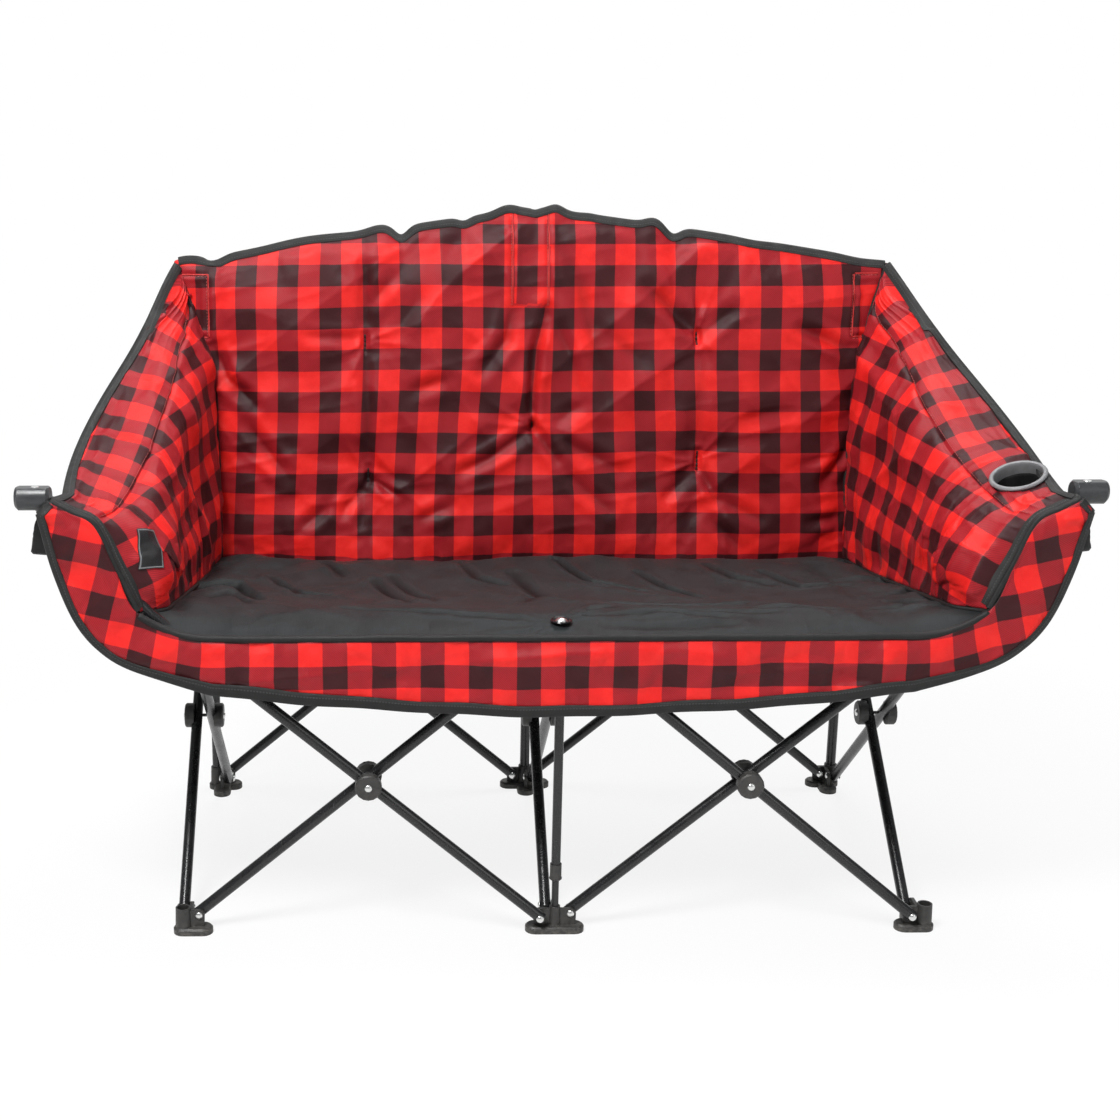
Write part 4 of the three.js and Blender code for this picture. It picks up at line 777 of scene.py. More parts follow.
def band_surface(u, v):
    top = band_line(BAND_TOP, 0.449, u)
    across = np.abs(top[..., 0])
    past = np.clip((across * SEAT_FRONT_HALF / BAND_TOP[1][0] - SEAT_FLAT_HALF) / SEAT_CORNER, 0, 1)
    top[..., 2] = np.where(across < BAND_TOP[1][0], 0.440 + 0.0376 * past ** 2, top[..., 2])
    low = band_line(BAND_LOW, 0.337, u)
    middle = soft_step((0.62 - np.abs(low[..., 0])) / 0.25)
    low[..., 1] -= 0.009 * middle
    low[..., 2] += 0.0016 * np.sin(low[..., 0] * 31) * np.cos(low[..., 0] * 13 + 1)
    found = low + (top - low) * np.asarray(v, float)[..., None]
    found[..., 1] += 0.007 * middle * np.sin(np.pi * np.asarray(v, float)) ** 0.8
    return found


def facing(surface, u, v, sign):
    """The unit vector out of the side that is looked at."""
    h = 1e-3
    du = surface(np.clip(u + h, 0, 1), v) - surface(np.clip(u - h, 0, 1), v)
    dv = surface(u, np.clip(v + h, 0, 1)) - surface(u, np.clip(v - h, 0, 1))
    return unit(np.cross(du, dv) * sign)


CUP_U, CUP_V = 0.8, 0.24
cup_centre = arm_surface(CUP_U, CUP_V)
cup_out = facing(arm_surface, np.array(CUP_U), np.array(CUP_V), -1)
print("cup at", cup_centre.round(3), "facing", cup_out.round(2))

# %% [markdown]
# ## Folds and puckers
# Quilted polyester never lies flat. A sewn line pulls a valley with a soft ridge on each side, a tack pulls
# a star of short pleats, and a seam gathers the cloth along it. Each is a small height over the flat cloth,
# so a panel can add up as many as it needs.

# %% Folds
def ripple(flat, scale, seed):
    """Smooth, repeatable noise from -1 to 1 over a flat cloth, with a scale in waves for each metre."""
    table = np.random.RandomState(seed).uniform(-1, 1, (64, 64))
    place = np.asarray(flat, float) * np.asarray(scale, float)
    cell = np.floor(place).astype(int)
    share = place - cell
    share = share ** 3 * (share * (share * 6 - 15) + 10)
    a = table[cell[:, 0] % 64, cell[:, 1] % 64]
    b = table[(cell[:, 0] + 1) % 64, cell[:, 1] % 64]
    c = table[cell[:, 0] % 64, (cell[:, 1] + 1) % 64]
    d = table[(cell[:, 0] + 1) % 64, (cell[:, 1] + 1) % 64]
    return mix(mix(a, b, share[:, 0]), mix(c, d, share[:, 0]), share[:, 1])


def turned(flat, degrees):
    angle = math.radians(degrees)
    turn = np.array([[math.cos(angle), math.sin(angle)], [-math.sin(angle), math.cos(angle)]])
    return flat @ turn.T


def drapes(flat, degrees, long, short, seed):
    """Soft parallel folds that run one way: long and short are their waves for each metre."""
    wave = ripple(turned(flat, degrees) + 7.3, (long, short), seed)
    return 1 - 2 * np.abs(wave) ** 0.8


def fold(flat, line, depth, width, ridge=0.5):
    """A crease along a line of points: a sharp valley between two soft ridges, fading at its ends."""
    best = np.full(len(flat), 9.0)
    along = np.zeros(len(flat))
    total = 0.0
    for a, b in zip(line, line[1:]):
        a = np.array(a)
        run = np.array(b) - a
        length = np.hypot(*run)
        share = np.clip((flat - a) @ run / length ** 2, 0, 1)
        off = np.linalg.norm(flat - a - share[:, None] * run, axis=1)
        nearer = off < best
        best[nearer] = off[nearer]
        along[nearer] = (total + share * length)[nearer]
        total += length
    fade = np.sin(np.pi * np.clip(0.12 + 0.76 * along / total, 0, 1)) ** 0.8
    r = best / width
    return depth * fade * (ridge * np.exp(-(r - 1.9) ** 2) - np.exp(-r ** 1.5))


def pucker(flat, centre, reach, depth, rays=7, seed=0):
    """The uneven star of pleats around a tack."""
    off = flat - np.array(centre)
    r = np.linalg.norm(off, axis=1) / reach
    angle = np.arctan2(off[:, 1], off[:, 0])
    bent = angle + 0.5 * np.sin(2 * angle + 1.7 * seed) + 0.35 * np.sin(3 * angle + seed) + 0.12 * r
    star = (1 - 2 * np.abs(np.sin(rays * bent / 2)) ** 0.7) * (0.55 + 0.45 * np.sin(angle * 2 + 2.3 * seed))
    return depth * (0.8 * star * r * np.exp(-1.05 * r) * 1.6 - np.exp(-(2.6 * r) ** 1.4))


def gathers(distance, along, reach, depth, waves, seed):
    """Small pleats with sharp ridges that leave a seam at right angles and die away over its reach."""
    strength = np.exp(-distance / reach) * (1 - np.exp(-distance / 0.004))
    wave = ripple(np.stack([along, distance * 0.25], axis=1), waves, seed)
    longer = 0.6 + 0.4 * ripple(np.stack([along, distance * 0], axis=1), (waves[0] * 0.6, 1.0), seed + 50)
    return depth * strength * longer * (0.45 * wave + 0.75 * (0.62 - 1.4 * np.abs(wave) ** 0.75))


def hem_calm(distance):
    """Holds the cloth flat where a tape is sewn over it."""
    return 0.1 + 0.9 * soft_step((distance - 0.008) / 0.02)


middle_of_fold = fold(np.array([[0.5, 0.0]]), [(0, 0), (1, 0)], 0.003, 0.01)
print("fold depth in its middle:", round(float(middle_of_fold[0]), 4))

# %% [markdown]
# ## Cutting a padded panel
# A pad starts as one flat grid, extruded into a closed sheet, so its front and its lining match point for
# point. Every point keeps its place on the flat cloth in two layers, u and v, and which side it is on.
# The hole for the cup is cut out of the grid before the extrusion, so its rim closes by itself.

# %% Panel maker
CUP_HOLE = (CUP_U, CUP_V, 0.035)


def swell_share(u, v, rim):
    edge = np.minimum(np.minimum(u, 1 - u) / rim[0], np.minimum(v, 1 - v) / rim[1])
    return np.sin(np.pi / 2 * np.clip(edge, 0, 1))


def cut_hole(bm, u_layer, v_layer, surface, hole):
    centre_u, centre_v, radius = hole
    centre = surface(np.array(centre_u), np.array(centre_v))
    out = facing(surface, np.array(centre_u), np.array(centre_v), 1)

    def reach(vert):
        off = surface(np.array(vert[u_layer]), np.array(vert[v_layer])) - centre
        return np.linalg.norm(off - out * (off @ out))

    inner = [f for f in bm.faces if all(reach(v) < radius + 0.001 for v in f.verts)]
    rim = {v for f in inner for v in f.verts if any(g not in inner for g in v.link_faces)}
    for _ in range(4):
        for vert in rim:
            share = radius / max(reach(vert), 1e-4)
            vert[u_layer] = centre_u + (vert[u_layer] - centre_u) * share
            vert[v_layer] = centre_v + (vert[v_layer] - centre_v) * share
    bmesh.ops.delete(bm, geom=inner, context="FACES")


def hem_reach(surface, u, v, reach=0.0016):
    """A small step outwards on the outer row, which makes up for what the subdivision rounds off."""
    middle = surface(mix(0.5, u, 0.97), mix(0.5, v, 0.97))
    out = surface(u, v) - middle
    out /= np.maximum(np.linalg.norm(out, axis=-1, keepdims=True), 1e-9)
    on_edge = (np.minimum(np.minimum(u, 1 - u), np.minimum(v, 1 - v)) < 1e-5)[:, None]
    return out * reach * on_edge


def cut_panel(name, columns, rows, surface, sign, thick, rim, cloth=CHECK_CLOTH, hole=None, front_share=0.5):
    """A closed pad. Its thickness grows from the edge over the rim, a share of u and one of v."""
    bm = bmesh.new()
    bmesh.ops.create_grid(bm, x_segments=columns, y_segments=rows, size=0.5)
    u_layer, v_layer, side = (bm.verts.layers.float.new(n) for n in ("u", "v", "side"))
    for vert in bm.verts:
        vert[u_layer] = vert.co.x + 0.5
        vert[v_layer] = vert.co.y + 0.5
        vert[side] = -1.0
    if hole:
        cut_hole(bm, u_layer, v_layer, surface, hole)
    made = bmesh.ops.extrude_face_region(bm, geom=bm.faces[:])["geom"]
    for vert in (g for g in made if isinstance(g, bmesh.types.BMVert)):
        vert[side] = 1.0
    u, v, on = (np.array([vert[layer] for vert in bm.verts]) for layer in (u_layer, v_layer, side))
    extra = (thick - EDGE_T) * swell_share(u, v, rim)
    height = EDGE_T / 2 + extra * np.where(on > 0, front_share, 1 - front_share)
    place = surface(u, v) + facing(surface, u, v, sign) * (on * height)[:, None] + hem_reach(surface, u, v)
    for vert, co in zip(bm.verts, place):
        vert.co = co
    bmesh.ops.recalc_face_normals(bm, faces=bm.faces)
    if bm.calc_volume(signed=True) < 0:
        bmesh.ops.reverse_faces(bm, faces=bm.faces)
    for face in bm.faces:
        face.material_index = 0 if min(v[side] for v in face.verts) > 0 else 1
    return object_from(bm, name, [cloth, BLACK_CLOTH])


def read_layer(mesh, name):
    values = np.zeros(len(mesh.vertices), np.float32)
    mesh.attributes[name].data.foreach_get("value", values)
    return values.astype(float)


def read_vectors(data, key):
    """A table of one vector for each item of a mesh collection."""
    values = np.zeros(len(data) * 3, np.float32)
    data.foreach_get(key, values)
    return values.reshape(-1, 3)


def read_places(mesh):
    return read_vectors(mesh.vertices, "co").astype(float)


def write_places(mesh, places):
    mesh.vertices.foreach_set("co", places.astype(np.float32).ravel())
    mesh.update()


back = cut_panel("back_pad", 168, 84, back_surface, 1, 0.017, (0.045, 0.09))
seat = cut_panel("seat_pad", 144, 66, seat_surface, 1, 0.015, (0.05, 0.1), SEAT_CLOTH, front_share=0.85)
right_arm = cut_panel("right_arm_pad", 96, 84, arm_surface, -1, 0.012, (0.08, 0.1), hole=CUP_HOLE)
left_arm = cut_panel("left_arm_pad", 96, 84, left_arm_surface, 1, 0.012, (0.08, 0.1))
band = cut_panel("front_band_pad", 240, 16, band_surface, 1, 0.010, (0.012, 0.2), front_share=0.8)
ARMS = [("right", 1, right_arm, arm_surface), ("left", -1, left_arm, left_arm_surface)]
print("panels:", [(p.name, len(p.data.vertices)) for p in (back, seat, right_arm, left_arm, band)])

# %% [markdown]
# ## Filling the pads
# Each pad is cloth sewn along its edges and tacks, with air pressure inside in place of the wadding. The
# cloth is cut a little larger than its frame, so it buckles into small natural wrinkles as it fills. A cap on
# how far a point may move keeps the pads clear of each other.

# %% Cloth simulation
CENTRE_PLEAT = [(0.018, 0.815), (0.0, 0.752), (-0.005, 0.682), (-0.004, 0.63)]
BACK_TACKS = [(-0.267, 0.764, 0.013), (-0.263, 0.555, 0.012), (0.253, 0.770, 0.010), (0.260, 0.577, 0.016),
              (-0.003, 0.634, 0.006)]
FRAMES = 18
CLOTH_SETTINGS = {"quality": 4, "mass": 0.3, "tension_stiffness": 15, "compression_stiffness": 15,
                  "shear_stiffness": 5, "bending_stiffness": 0.05, "use_pressure": True,
                  "vertex_group_mass": "sewn"}


def tacked(flat, tacks, width=0.005):
    held = np.zeros(len(flat), bool)
    for x, z, half in tacks:
        held |= (np.abs(flat[:, 0] - x) < width) & (np.abs(flat[:, 1] - z) < half + width)
    return held


def edge_rows(piece, columns, rows, hole=None):
    """Which points are sewn down: those near the edges, and round the hole of the cup."""
    u, v = read_layer(piece.data, "u"), read_layer(piece.data, "v")
    held = np.minimum(u, 1 - u) < columns
    held |= np.minimum(v, 1 - v) < rows
    if hole:
        held |= np.hypot((u - hole[0]) * 0.52, (v - hole[1]) * 0.33) < hole[2] + 0.006
    return held


def fill(piece, held, pressure, slack):
    group = piece.vertex_groups.new(name="sewn")
    group.add([int(i) for i in np.flatnonzero(held)], 1.0, "REPLACE")
    cloth = piece.modifiers.new("cloth", "CLOTH")
    for key, value in CLOTH_SETTINGS.items():
        setattr(cloth.settings, key, value)
    cloth.settings.uniform_pressure_force = pressure
    cloth.settings.shrink_min = -slack
    cloth.settings.effector_weights.gravity = 0
    cloth.point_cache.frame_start = 1
    cloth.point_cache.frame_end = FRAMES


def simulate(pads):
    """Fills each pad, and keeps its last shape. pads holds piece, held points, pressure, slack and cap."""
    starts = {p.name: read_places(p.data) for p, *_ in pads}
    for piece, held, pressure, slack, _ in pads:
        fill(piece, held, pressure, slack)
    for step in range(1, FRAMES + 1):
        scene.frame_set(step)
    graph = bpy.context.evaluated_depsgraph_get()
    for piece, *_, cap in pads:
        start = starts[piece.name]
        filled = piece.evaluated_get(graph)
        move = read_places(filled.to_mesh()) - start
        filled.to_mesh_clear()
        far = np.linalg.norm(move, axis=1, keepdims=True)
        move *= np.where(far > 1e-9, np.tanh(far / cap) * cap / np.maximum(far, 1e-9), 1)
        piece.modifiers.clear()
        piece.vertex_groups.clear()
        write_places(piece.data, start + move)
        kept = np.linalg.norm(move, axis=1).max()
        print(piece.name, "moved up to", round(float(far.max()) * 1000, 1), "mm, kept to",
              round(float(kept) * 1000, 1))
    scene.frame_set(1)


back_flat = read_places(back.data)[:, [0, 2]]
simulate([
    (back, edge_rows(back, 0.014, 0.024) | tacked(back_flat, BACK_TACKS), 1.2, 0.012, 0.012),
    (seat, edge_rows(seat, 0.012, 0.03), 0.9, 0.006, 0.008),
    (right_arm, edge_rows(right_arm, 0.02, 0.03, CUP_HOLE), 1.2, 0.014, 0.010),
    (left_arm, edge_rows(left_arm, 0.02, 0.03), 1.2, 0.014, 0.010),
    (band, edge_rows(band, 0.004, 0.1), 2.0, 0.02, 0.008)])

# %% [markdown]
# ## Creases and the cloth map
# The filled pads get one subdivision. Then formulas move the front along its normals: tacks with their stars,
# creases, the pleats under the middle pocket, and gathers along the seams. The cloth map is in metres, so the
# check keeps its true size, and it shifts a little at each seam as sewn cloth does.

# %% Finishing a panel
def refine(piece):
    finer = piece.modifiers.new("finer", "SUBSURF")
    finer.levels = finer.render_levels = 1
    graph = bpy.context.evaluated_depsgraph_get()
    mesh = bpy.data.meshes.new_from_object(piece.evaluated_get(graph))
    piece.modifiers.clear()
    piece.data = mesh
    return mesh, read_layer(mesh, "u"), read_layer(mesh, "v")


def press(piece, heights, creases=0.0):
    """Moves the side that is looked at along its own normals. Deep creases are marked for painted shade,
    which darkens the colour there.
    """
    mesh = piece.data
    front = np.clip(read_layer(mesh, "side"), 0, 1)
    # These crease marks become painted shade in the cloth materials.
    marks = (np.clip(creases, 0, 1) * front).astype(np.float32)
    mesh.attributes.new("crease", "FLOAT", "POINT").data.foreach_set("value", marks)
    out = read_vectors(mesh.vertex_normals, "vector")
    write_places(mesh, read_places(mesh) + out * (heights * front)[:, None])


def write_cloth_map(mesh, flat, other=None, uses_other=None):
    """The UV map in metres. Faces whose points mostly use the other cloth take its places."""
    corners = np.zeros(len(mesh.loops), np.int32)
    mesh.loops.foreach_get("vertex_index", corners)
    values = flat[corners]
    if other is not None:
        starts = np.zeros(len(mesh.polygons), np.int32)
        counts = np.zeros(len(mesh.polygons), np.int32)
        mesh.polygons.foreach_get("loop_start", starts)
        mesh.polygons.foreach_get("loop_total", counts)
        means = np.add.reduceat(uses_other[corners], starts) / counts
        values = np.where(np.repeat(means > 0.5, counts)[:, None], other[corners], values)
    layer = mesh.uv_layers.new(name="cloth")
    layer.data.foreach_set("uv", values.astype(np.float32).ravel())


def warp(flat, amount, seed):
    shift = np.stack([ripple(flat, 5.0, seed), ripple(flat, 5.0, seed + 1)], axis=1)
    return amount * shift


def creased(flat, folds):
    """The heights of all creases in a list of lines, each with its depth and width in millimetres."""
    return sum(fold(flat, line, depth / 1000, width / 1000) for line, depth, width in folds)


def crease_shade_amount(flat, folds, full):
    """How deep each point lies in a crease, 1 where it is full mm deep. The materials darken the colour by
    this as painted shade.
    """
    return creased(flat, folds) * -1000 / full


# %% [markdown]
# ## The back
# The back is quilted loosely. Five tacks hold it, a pocket for the middle post is sewn in at the top, and two
# more at the corners. Its long diagonal creases run between the tacks.

# %% Back creases
BACK_FOLDS = [
    ([(-0.506, 0.756), (-0.483, 0.706), (-0.44, 0.667)], 4.2, 10),
    ([(-0.451, 0.634), (-0.418, 0.59), (-0.39, 0.554)], 3.2, 10),
    ([(-0.355, 0.773), (-0.274, 0.77)], 2.6, 8),
    ([(-0.252, 0.826), (-0.225, 0.862)], 3.6, 9),
    ([(-0.214, 0.783), (-0.183, 0.83)], 2.4, 12),
    ([(-0.258, 0.548), (-0.22, 0.526)], 3.4, 7),
    ([(-0.264, 0.542), (-0.304, 0.497)], 3.6, 9),
    ([(-0.266, 0.53), (-0.276, 0.48)], 2.8, 8),
    ([(-0.192, 0.688), (-0.141, 0.706)], 3.0, 10),
    ([(-0.12, 0.56), (-0.072, 0.581), (-0.004, 0.628)], 4.4, 9),
    ([(-0.002, 0.628), (0.035, 0.581)], 4.4, 8),
    ([(0.036, 0.64), (0.075, 0.668)], 2.2, 9),
    ([(-0.036, 0.812), (-0.046, 0.766), (-0.085, 0.717)], 4.6, 10),
    (CENTRE_PLEAT, 4.8, 8),
    ([(0.018, 0.812), (0.052, 0.748), (0.07, 0.69)], 3.0, 11),
    ([(-0.267, 0.745), (-0.262, 0.65), (-0.263, 0.575)], 3.2, 9),
    ([(-0.267, 0.783), (-0.262, 0.88)], 2.6, 10),
    ([(-0.325, 0.508), (-0.373, 0.469)], 2.8, 9),
    ([(-0.182, 0.484), (-0.134, 0.508)], 2.8, 9),
    ([(0.255, 0.776), (0.174, 0.844)], 4.2, 11),
    ([(0.259, 0.776), (0.31, 0.814)], 3.6, 10),
    ([(0.034, 0.905), (0.068, 0.85), (0.113, 0.674)], 3.4, 14),
    ([(0.461, 0.542), (0.509, 0.61)], 3.8, 9),
    ([(0.441, 0.48), (0.487, 0.486)], 3.0, 8),
    ([(0.288, 0.48), (0.329, 0.44)], 3.8, 9),
    ([(0.268, 0.56), (0.291, 0.515)], 3.2, 8),
    ([(0.254, 0.56), (0.207, 0.516)], 3.2, 9),
    ([(0.099, 0.783), (0.163, 0.737)], 2.6, 14),
    ([(0.04, 0.611), (0.136, 0.564)], 3.0, 11),
    ([(0.361, 0.484), (0.296, 0.516)], 2.6, 9),
    ([(0.413, 0.783), (0.492, 0.752)], 3.2, 9),
    ([(0.324, 0.643), (0.402, 0.659)], 1.8, 12),
    ([(0.061, 0.548), (0.121, 0.5)], 2.8, 10),
    ([(0.256, 0.755), (0.258, 0.6)], 2.0, 12),
]
POCKET_LINES = [
    [(-0.0365, 0.822), (-0.0375, 0.960)],
    [(0.0195, 0.822), (0.0185, 0.960)],
    [(-0.553, 0.868), (-0.512, 0.868)],
    [(-0.511, 0.868), (-0.511, 0.772)],
    [(-0.553, 0.771), (-0.514, 0.771)],
    [(0.4985, 0.868), (0.4985, 0.772)],
    [(0.5, 0.869), (0.536, 0.869)],
    [(0.5, 0.771), (0.532, 0.771)],
]
FOOT_BULGES = ((-0.25, 0.016), (0.24, 0.013))
BACK_HEIGHT = 0.5


def back_heights(flat, u, v):
    heights = 1.7 * creased(flat, BACK_FOLDS)
    for i, (x, z, half) in enumerate(BACK_TACKS):
        heights += pucker(flat, (x, z), 0.03, 0.0045, rays=5, seed=i)
        heights += fold(flat, [(x, z - half), (x + 0.001, z + half)], 0.005, 0.0042, ridge=0.7)
    inner = soft_step((v - 0.05) / 0.25)
    heights += inner * (0.0042 * drapes(flat, 38, 3.2, 10.0, 4) + 0.0028 * drapes(flat, -52, 4.0, 12.0, 6))
    heights += 0.0016 * ripple(flat, (22.0, 22.0), 9) + 0.0011 * drapes(flat, 12, 9.0, 34.0, 10)
    width = 2 * back_half(v)
    heights += gathers(v * BACK_HEIGHT, flat[:, 0], 0.05, 0.0085, (24.0, 8.0), 21)
    heights += gathers((1 - v) * BACK_HEIGHT, flat[:, 0], 0.035, 0.005, (24.0, 8.0), 22)
    heights += gathers(u * width, flat[:, 1], 0.05, 0.0075, (22.0, 8.0), 23)
    heights += gathers((1 - u) * width, flat[:, 1], 0.05, 0.0075, (22.0, 8.0), 24)
    for line in POCKET_LINES:
        heights += fold(flat, line, 0.0026, 0.0038, ridge=0.8)
    for x, rise in FOOT_BULGES:
        across = np.exp(-((flat[:, 0] - x) / 0.11) ** 2)
        heights += rise * across * np.exp(-(v / 0.07) ** 2) * soft_step(v / 0.012)
    return heights * hem_calm((1 - v) * BACK_HEIGHT)


def back_cloth_map(flat):
    """The check's columns step aside at the middle pleat, at a seam and in the middle pocket."""
    x, z = flat[:, 0], flat[:, 1]
    pleat = np.interp(z, [p[1] for p in CENTRE_PLEAT[::-1]], [p[0] for p in CENTRE_PLEAT[::-1]])
    low = 1 - soft_step((z - 0.45) / 0.3)
    drift = mix(0.005 + 0.0110 * low, 0.0241 - 0.009 * low, soft_step((x - pleat) / 0.006 + 0.5))
    phase = 0.2574 + drift - 0.0078 * (1 - soft_step((x + 0.2635) / 0.008 + 0.5))
    in_pocket = (z > 0.82) & (x > -0.037) & (x < 0.019)
    phase = np.where(in_pocket, 0.0167, phase)
    return np.stack([x + phase, z - 0.801], axis=1) + warp(flat, 0.0035, 31)


mesh, u, v = refine(back)
flat = back_surface(u, v)[:, [0, 2]]
# The crease marks darken the back's colour in its creases, as painted shade.
press(back, back_heights(flat, u, v), crease_shade_amount(flat, BACK_FOLDS, 3.5))
write_cloth_map(mesh, back_cloth_map(flat))
with_back(back)
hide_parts("back_panel")
print("back:", len(mesh.polygons), "faces")

# %% [markdown]
# ## The seat
# The seat is one plain charcoal panel, thin and slack, so it carries the most wrinkles. Long flat folds run
# across it, with a few sharp creases that catch the light, and the button near its front pulls a small star.

# %% Seat creases
SEAT_FOLDS = [
    ([(0.03, 0.118), (0.068, 0.014), (0.146, -0.036)], 6.0, 6),
    ([(0.15, 0.064), (0.177, -0.009), (0.224, -0.089)], 5.5, 6),
    ([(-0.03, -0.092), (0.033, -0.142), (0.118, -0.143), (0.263, -0.17)], 5.5, 6),
    ([(-0.045, 0.054), (-0.013, -0.081), (-0.04, -0.136)], 4.5, 11),
    ([(0.046, -0.199), (0.117, -0.186), (0.196, -0.215), (0.3, -0.22)], 4.5, 6),
    ([(0.042, -0.232), (0.139, -0.224), (0.22, -0.238)], 4.0, 6),
    ([(-0.255, 0.021), (-0.225, -0.08), (-0.202, -0.149)], 5.5, 7),
    ([(-0.23, 0.04), (-0.2, -0.05), (-0.165, -0.12)], 4.0, 7),
    ([(-0.536, -0.1), (-0.506, -0.03), (-0.459, -0.018), (-0.415, -0.132)], 6.0, 8),
    ([(-0.5, -0.12), (-0.46, -0.06), (-0.43, -0.17)], 5.0, 7),
    ([(0.503, -0.107), (0.534, -0.082), (0.528, -0.182)], 5.5, 8),
    ([(0.47, -0.15), (0.5, -0.19), (0.44, -0.205)], 4.5, 7),
    ([(-0.411, 0.036), (-0.361, -0.072), (-0.317, -0.082)], 5.5, 6),
    ([(0.336, 0.056), (0.378, -0.028), (0.455, -0.018)], 5.0, 6),
    ([(0.06, -0.262), (0.16, -0.266), (0.24, -0.26)], 2.6, 6),
    ([(-0.3, -0.2), (-0.18, -0.225), (-0.06, -0.245)], 3.4, 6),
    ([(0.28, -0.2), (0.4, -0.215)], 3.4, 6),
    ([(-0.12, 0.12), (-0.1, 0.03), (-0.055, -0.01)], 4.0, 7),
    ([(0.26, 0.1), (0.29, 0.03), (0.34, -0.01)], 4.0, 7),
    ([(-0.33, 0.12), (-0.3, 0.05)], 4.0, 7),
]
BUTTON_SPOT = (0.0, -0.2547)
SEAT_DEPTH, SEAT_WIDTH = 0.48, 1.05


def seat_heights(flat, u, v):
    heights = 1.15 * creased(flat, SEAT_FOLDS)
    inner = soft_step(np.minimum(np.minimum(u, 1 - u) / 0.06, np.minimum(v, 1 - v) / 0.12))
    heights += inner * 0.0044 * drapes(flat, -32, 2.4, 8.0, 41)
    heights += inner * 0.0016 * drapes(flat, 32, 3.0, 12.0, 42)
    heights += inner * 0.0006 * ripple(flat, (26.0, 26.0), 43)
    heights += gathers((1 - v) * SEAT_DEPTH, flat[:, 0], 0.06, 0.008, (20.0, 8.0), 44)
    heights += gathers(v * SEAT_DEPTH, flat[:, 0], 0.04, 0.0034, (26.0, 8.0), 45)
    heights += gathers(u * SEAT_WIDTH, flat[:, 1], 0.06, 0.008, (26.0, 8.0), 46)
    heights += gathers((1 - u) * SEAT_WIDTH, flat[:, 1], 0.06, 0.008, (26.0, 8.0), 47)
    away = np.linalg.norm(flat - np.array(BUTTON_SPOT), axis=1)
    heights += pucker(flat, BUTTON_SPOT, 0.045, 0.0045, rays=9, seed=3) * (away > 0.015)
    to_corner = np.hypot(np.minimum(u, 1 - u) * SEAT_WIDTH, v * 0.5)
    heights = heights * hem_calm(v * SEAT_DEPTH + 0.006) * (1 - np.exp(-(to_corner / 0.075) ** 4))
    return np.where(away < 0.016, np.minimum(heights, -0.001), heights)


mesh, u, v = refine(seat)
flat = seat_surface(u, v)[:, :2]
# The crease marks darken the seat's colour in its creases, as painted shade.
press(seat, seat_heights(flat, u, v), crease_shade_amount(flat, SEAT_FOLDS, 4.0))
write_cloth_map(mesh, flat + warp(flat, 0.004, 51))
print("seat:", len(mesh.polygons), "faces")

# %% [markdown]
# ## The arms
# Each arm is two cloths over one pad: a strip along the rolled edge and a wing down to the seat, sewn
# together at the ridge. The wing's cloth is level from back to front, and the strip's follows the ridge, so
# the check breaks at that seam, as it does on any sewn corner.

# %% Arms
def arm_cloth_maps(surface, u, v, side):
    def at(u, v):
        return surface(np.array(u), np.array(v))

    place = surface(u, v)
    ridge = at(0.5, 0.5)
    level = unit(np.array([0.21 * side, -1.0, -0.10]))
    down = at(0.5, 1.0) - ridge
    down = unit(down - level * (down @ level))
    wing = np.stack([(place - ridge) @ level, (place - ridge) @ down], axis=1)
    along = unit(at(0.8, 0.5) - at(0.2, 0.5))
    across = at(0.5, 0.0) - ridge
    across = unit(across - along * (across @ along))
    strip = np.stack([(place - ridge) @ across, (place - ridge) @ along], axis=1)
    return wing + warp(wing, 0.003, 61), strip + warp(strip, 0.003, 63)


def arm_heights(flat, u, v, seed):
    inner = soft_step(np.minimum(np.minimum(u, 1 - u) / 0.08, np.minimum(v, 1 - v) / 0.1))
    heights = inner * 0.0042 * drapes(flat, 25 + seed, 4.0, 14.0, seed)
    heights += inner * 0.0028 * drapes(flat, -40, 6.0, 18.0, seed + 1)
    heights += inner * 0.0012 * drapes(flat, 10, 12.0, 36.0, seed + 6)
    wing_depth = mix(0.47, 0.19, u)
    low = soft_step((v - 0.5) / 0.25) * soft_step((1 - v) / 0.16)
    heights += 0.020 * low * soft_step((u - 0.5) / 0.3) * soft_step((1 - u) / 0.10)
    to_ridge = np.abs(v - 0.5) * wing_depth
    heights += gathers((1 - v) * wing_depth, u * 0.5, 0.10, 0.0155, (46.0, 6.0), seed + 2)
    heights += gathers(to_ridge, u * 0.5, 0.035, 0.0055, (34.0, 6.0), seed + 3)
    heights += gathers(u * 0.52, v * 0.45, 0.06, 0.008, (24.0, 6.0), seed + 4)
    heights += gathers((1 - u) * 0.52, v * 0.3, 0.05, 0.007, (38.0, 6.0), seed + 5)
    heights -= 0.0036 * np.exp(-(to_ridge / 0.004) ** 1.5)
    return heights * hem_calm(np.minimum(v * 0.33, (1 - u) * 0.52))


for (name, side, arm, surface), seed in zip(ARMS, (71, 81)):
    mesh, u, v = refine(arm)
    wing, strip = arm_cloth_maps(surface, u, v, side)
    press(arm, arm_heights(wing, u, v, seed))
    write_cloth_map(mesh, wing, strip, (v < 0.5).astype(float))
    with_arm(arm)
    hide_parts(f"arm_panel_{name}")
    print(arm.name, len(mesh.polygons), "faces")

# %% [markdown]
# ## The front band
# One long strip of the check hangs from the seat's front edge and sweeps up to both arm tips. It is lightly
# padded, with slow waves along it. Towards each tip its check turns by a few degrees.

# %% Front band
BAND_HEIGHT = 0.09
PIVOT_X, PIVOT_Z = 0.47, 0.41


def band_cloth_map(flat):
    side = np.sign(flat[:, 0])
    tilt = math.radians(14) * soft_step((np.abs(flat[:, 0]) - 0.44) / 0.14)
    x, z = np.abs(flat[:, 0]) - PIVOT_X, flat[:, 1] - PIVOT_Z
    turned_x = side * (PIVOT_X + x * np.cos(tilt) + z * np.sin(tilt))
    turned_z = PIVOT_Z - x * np.sin(tilt) + z * np.cos(tilt)
    return np.stack([turned_x + 0.3679, turned_z - 0.3881], axis=1) + warp(flat, 0.002, 95)


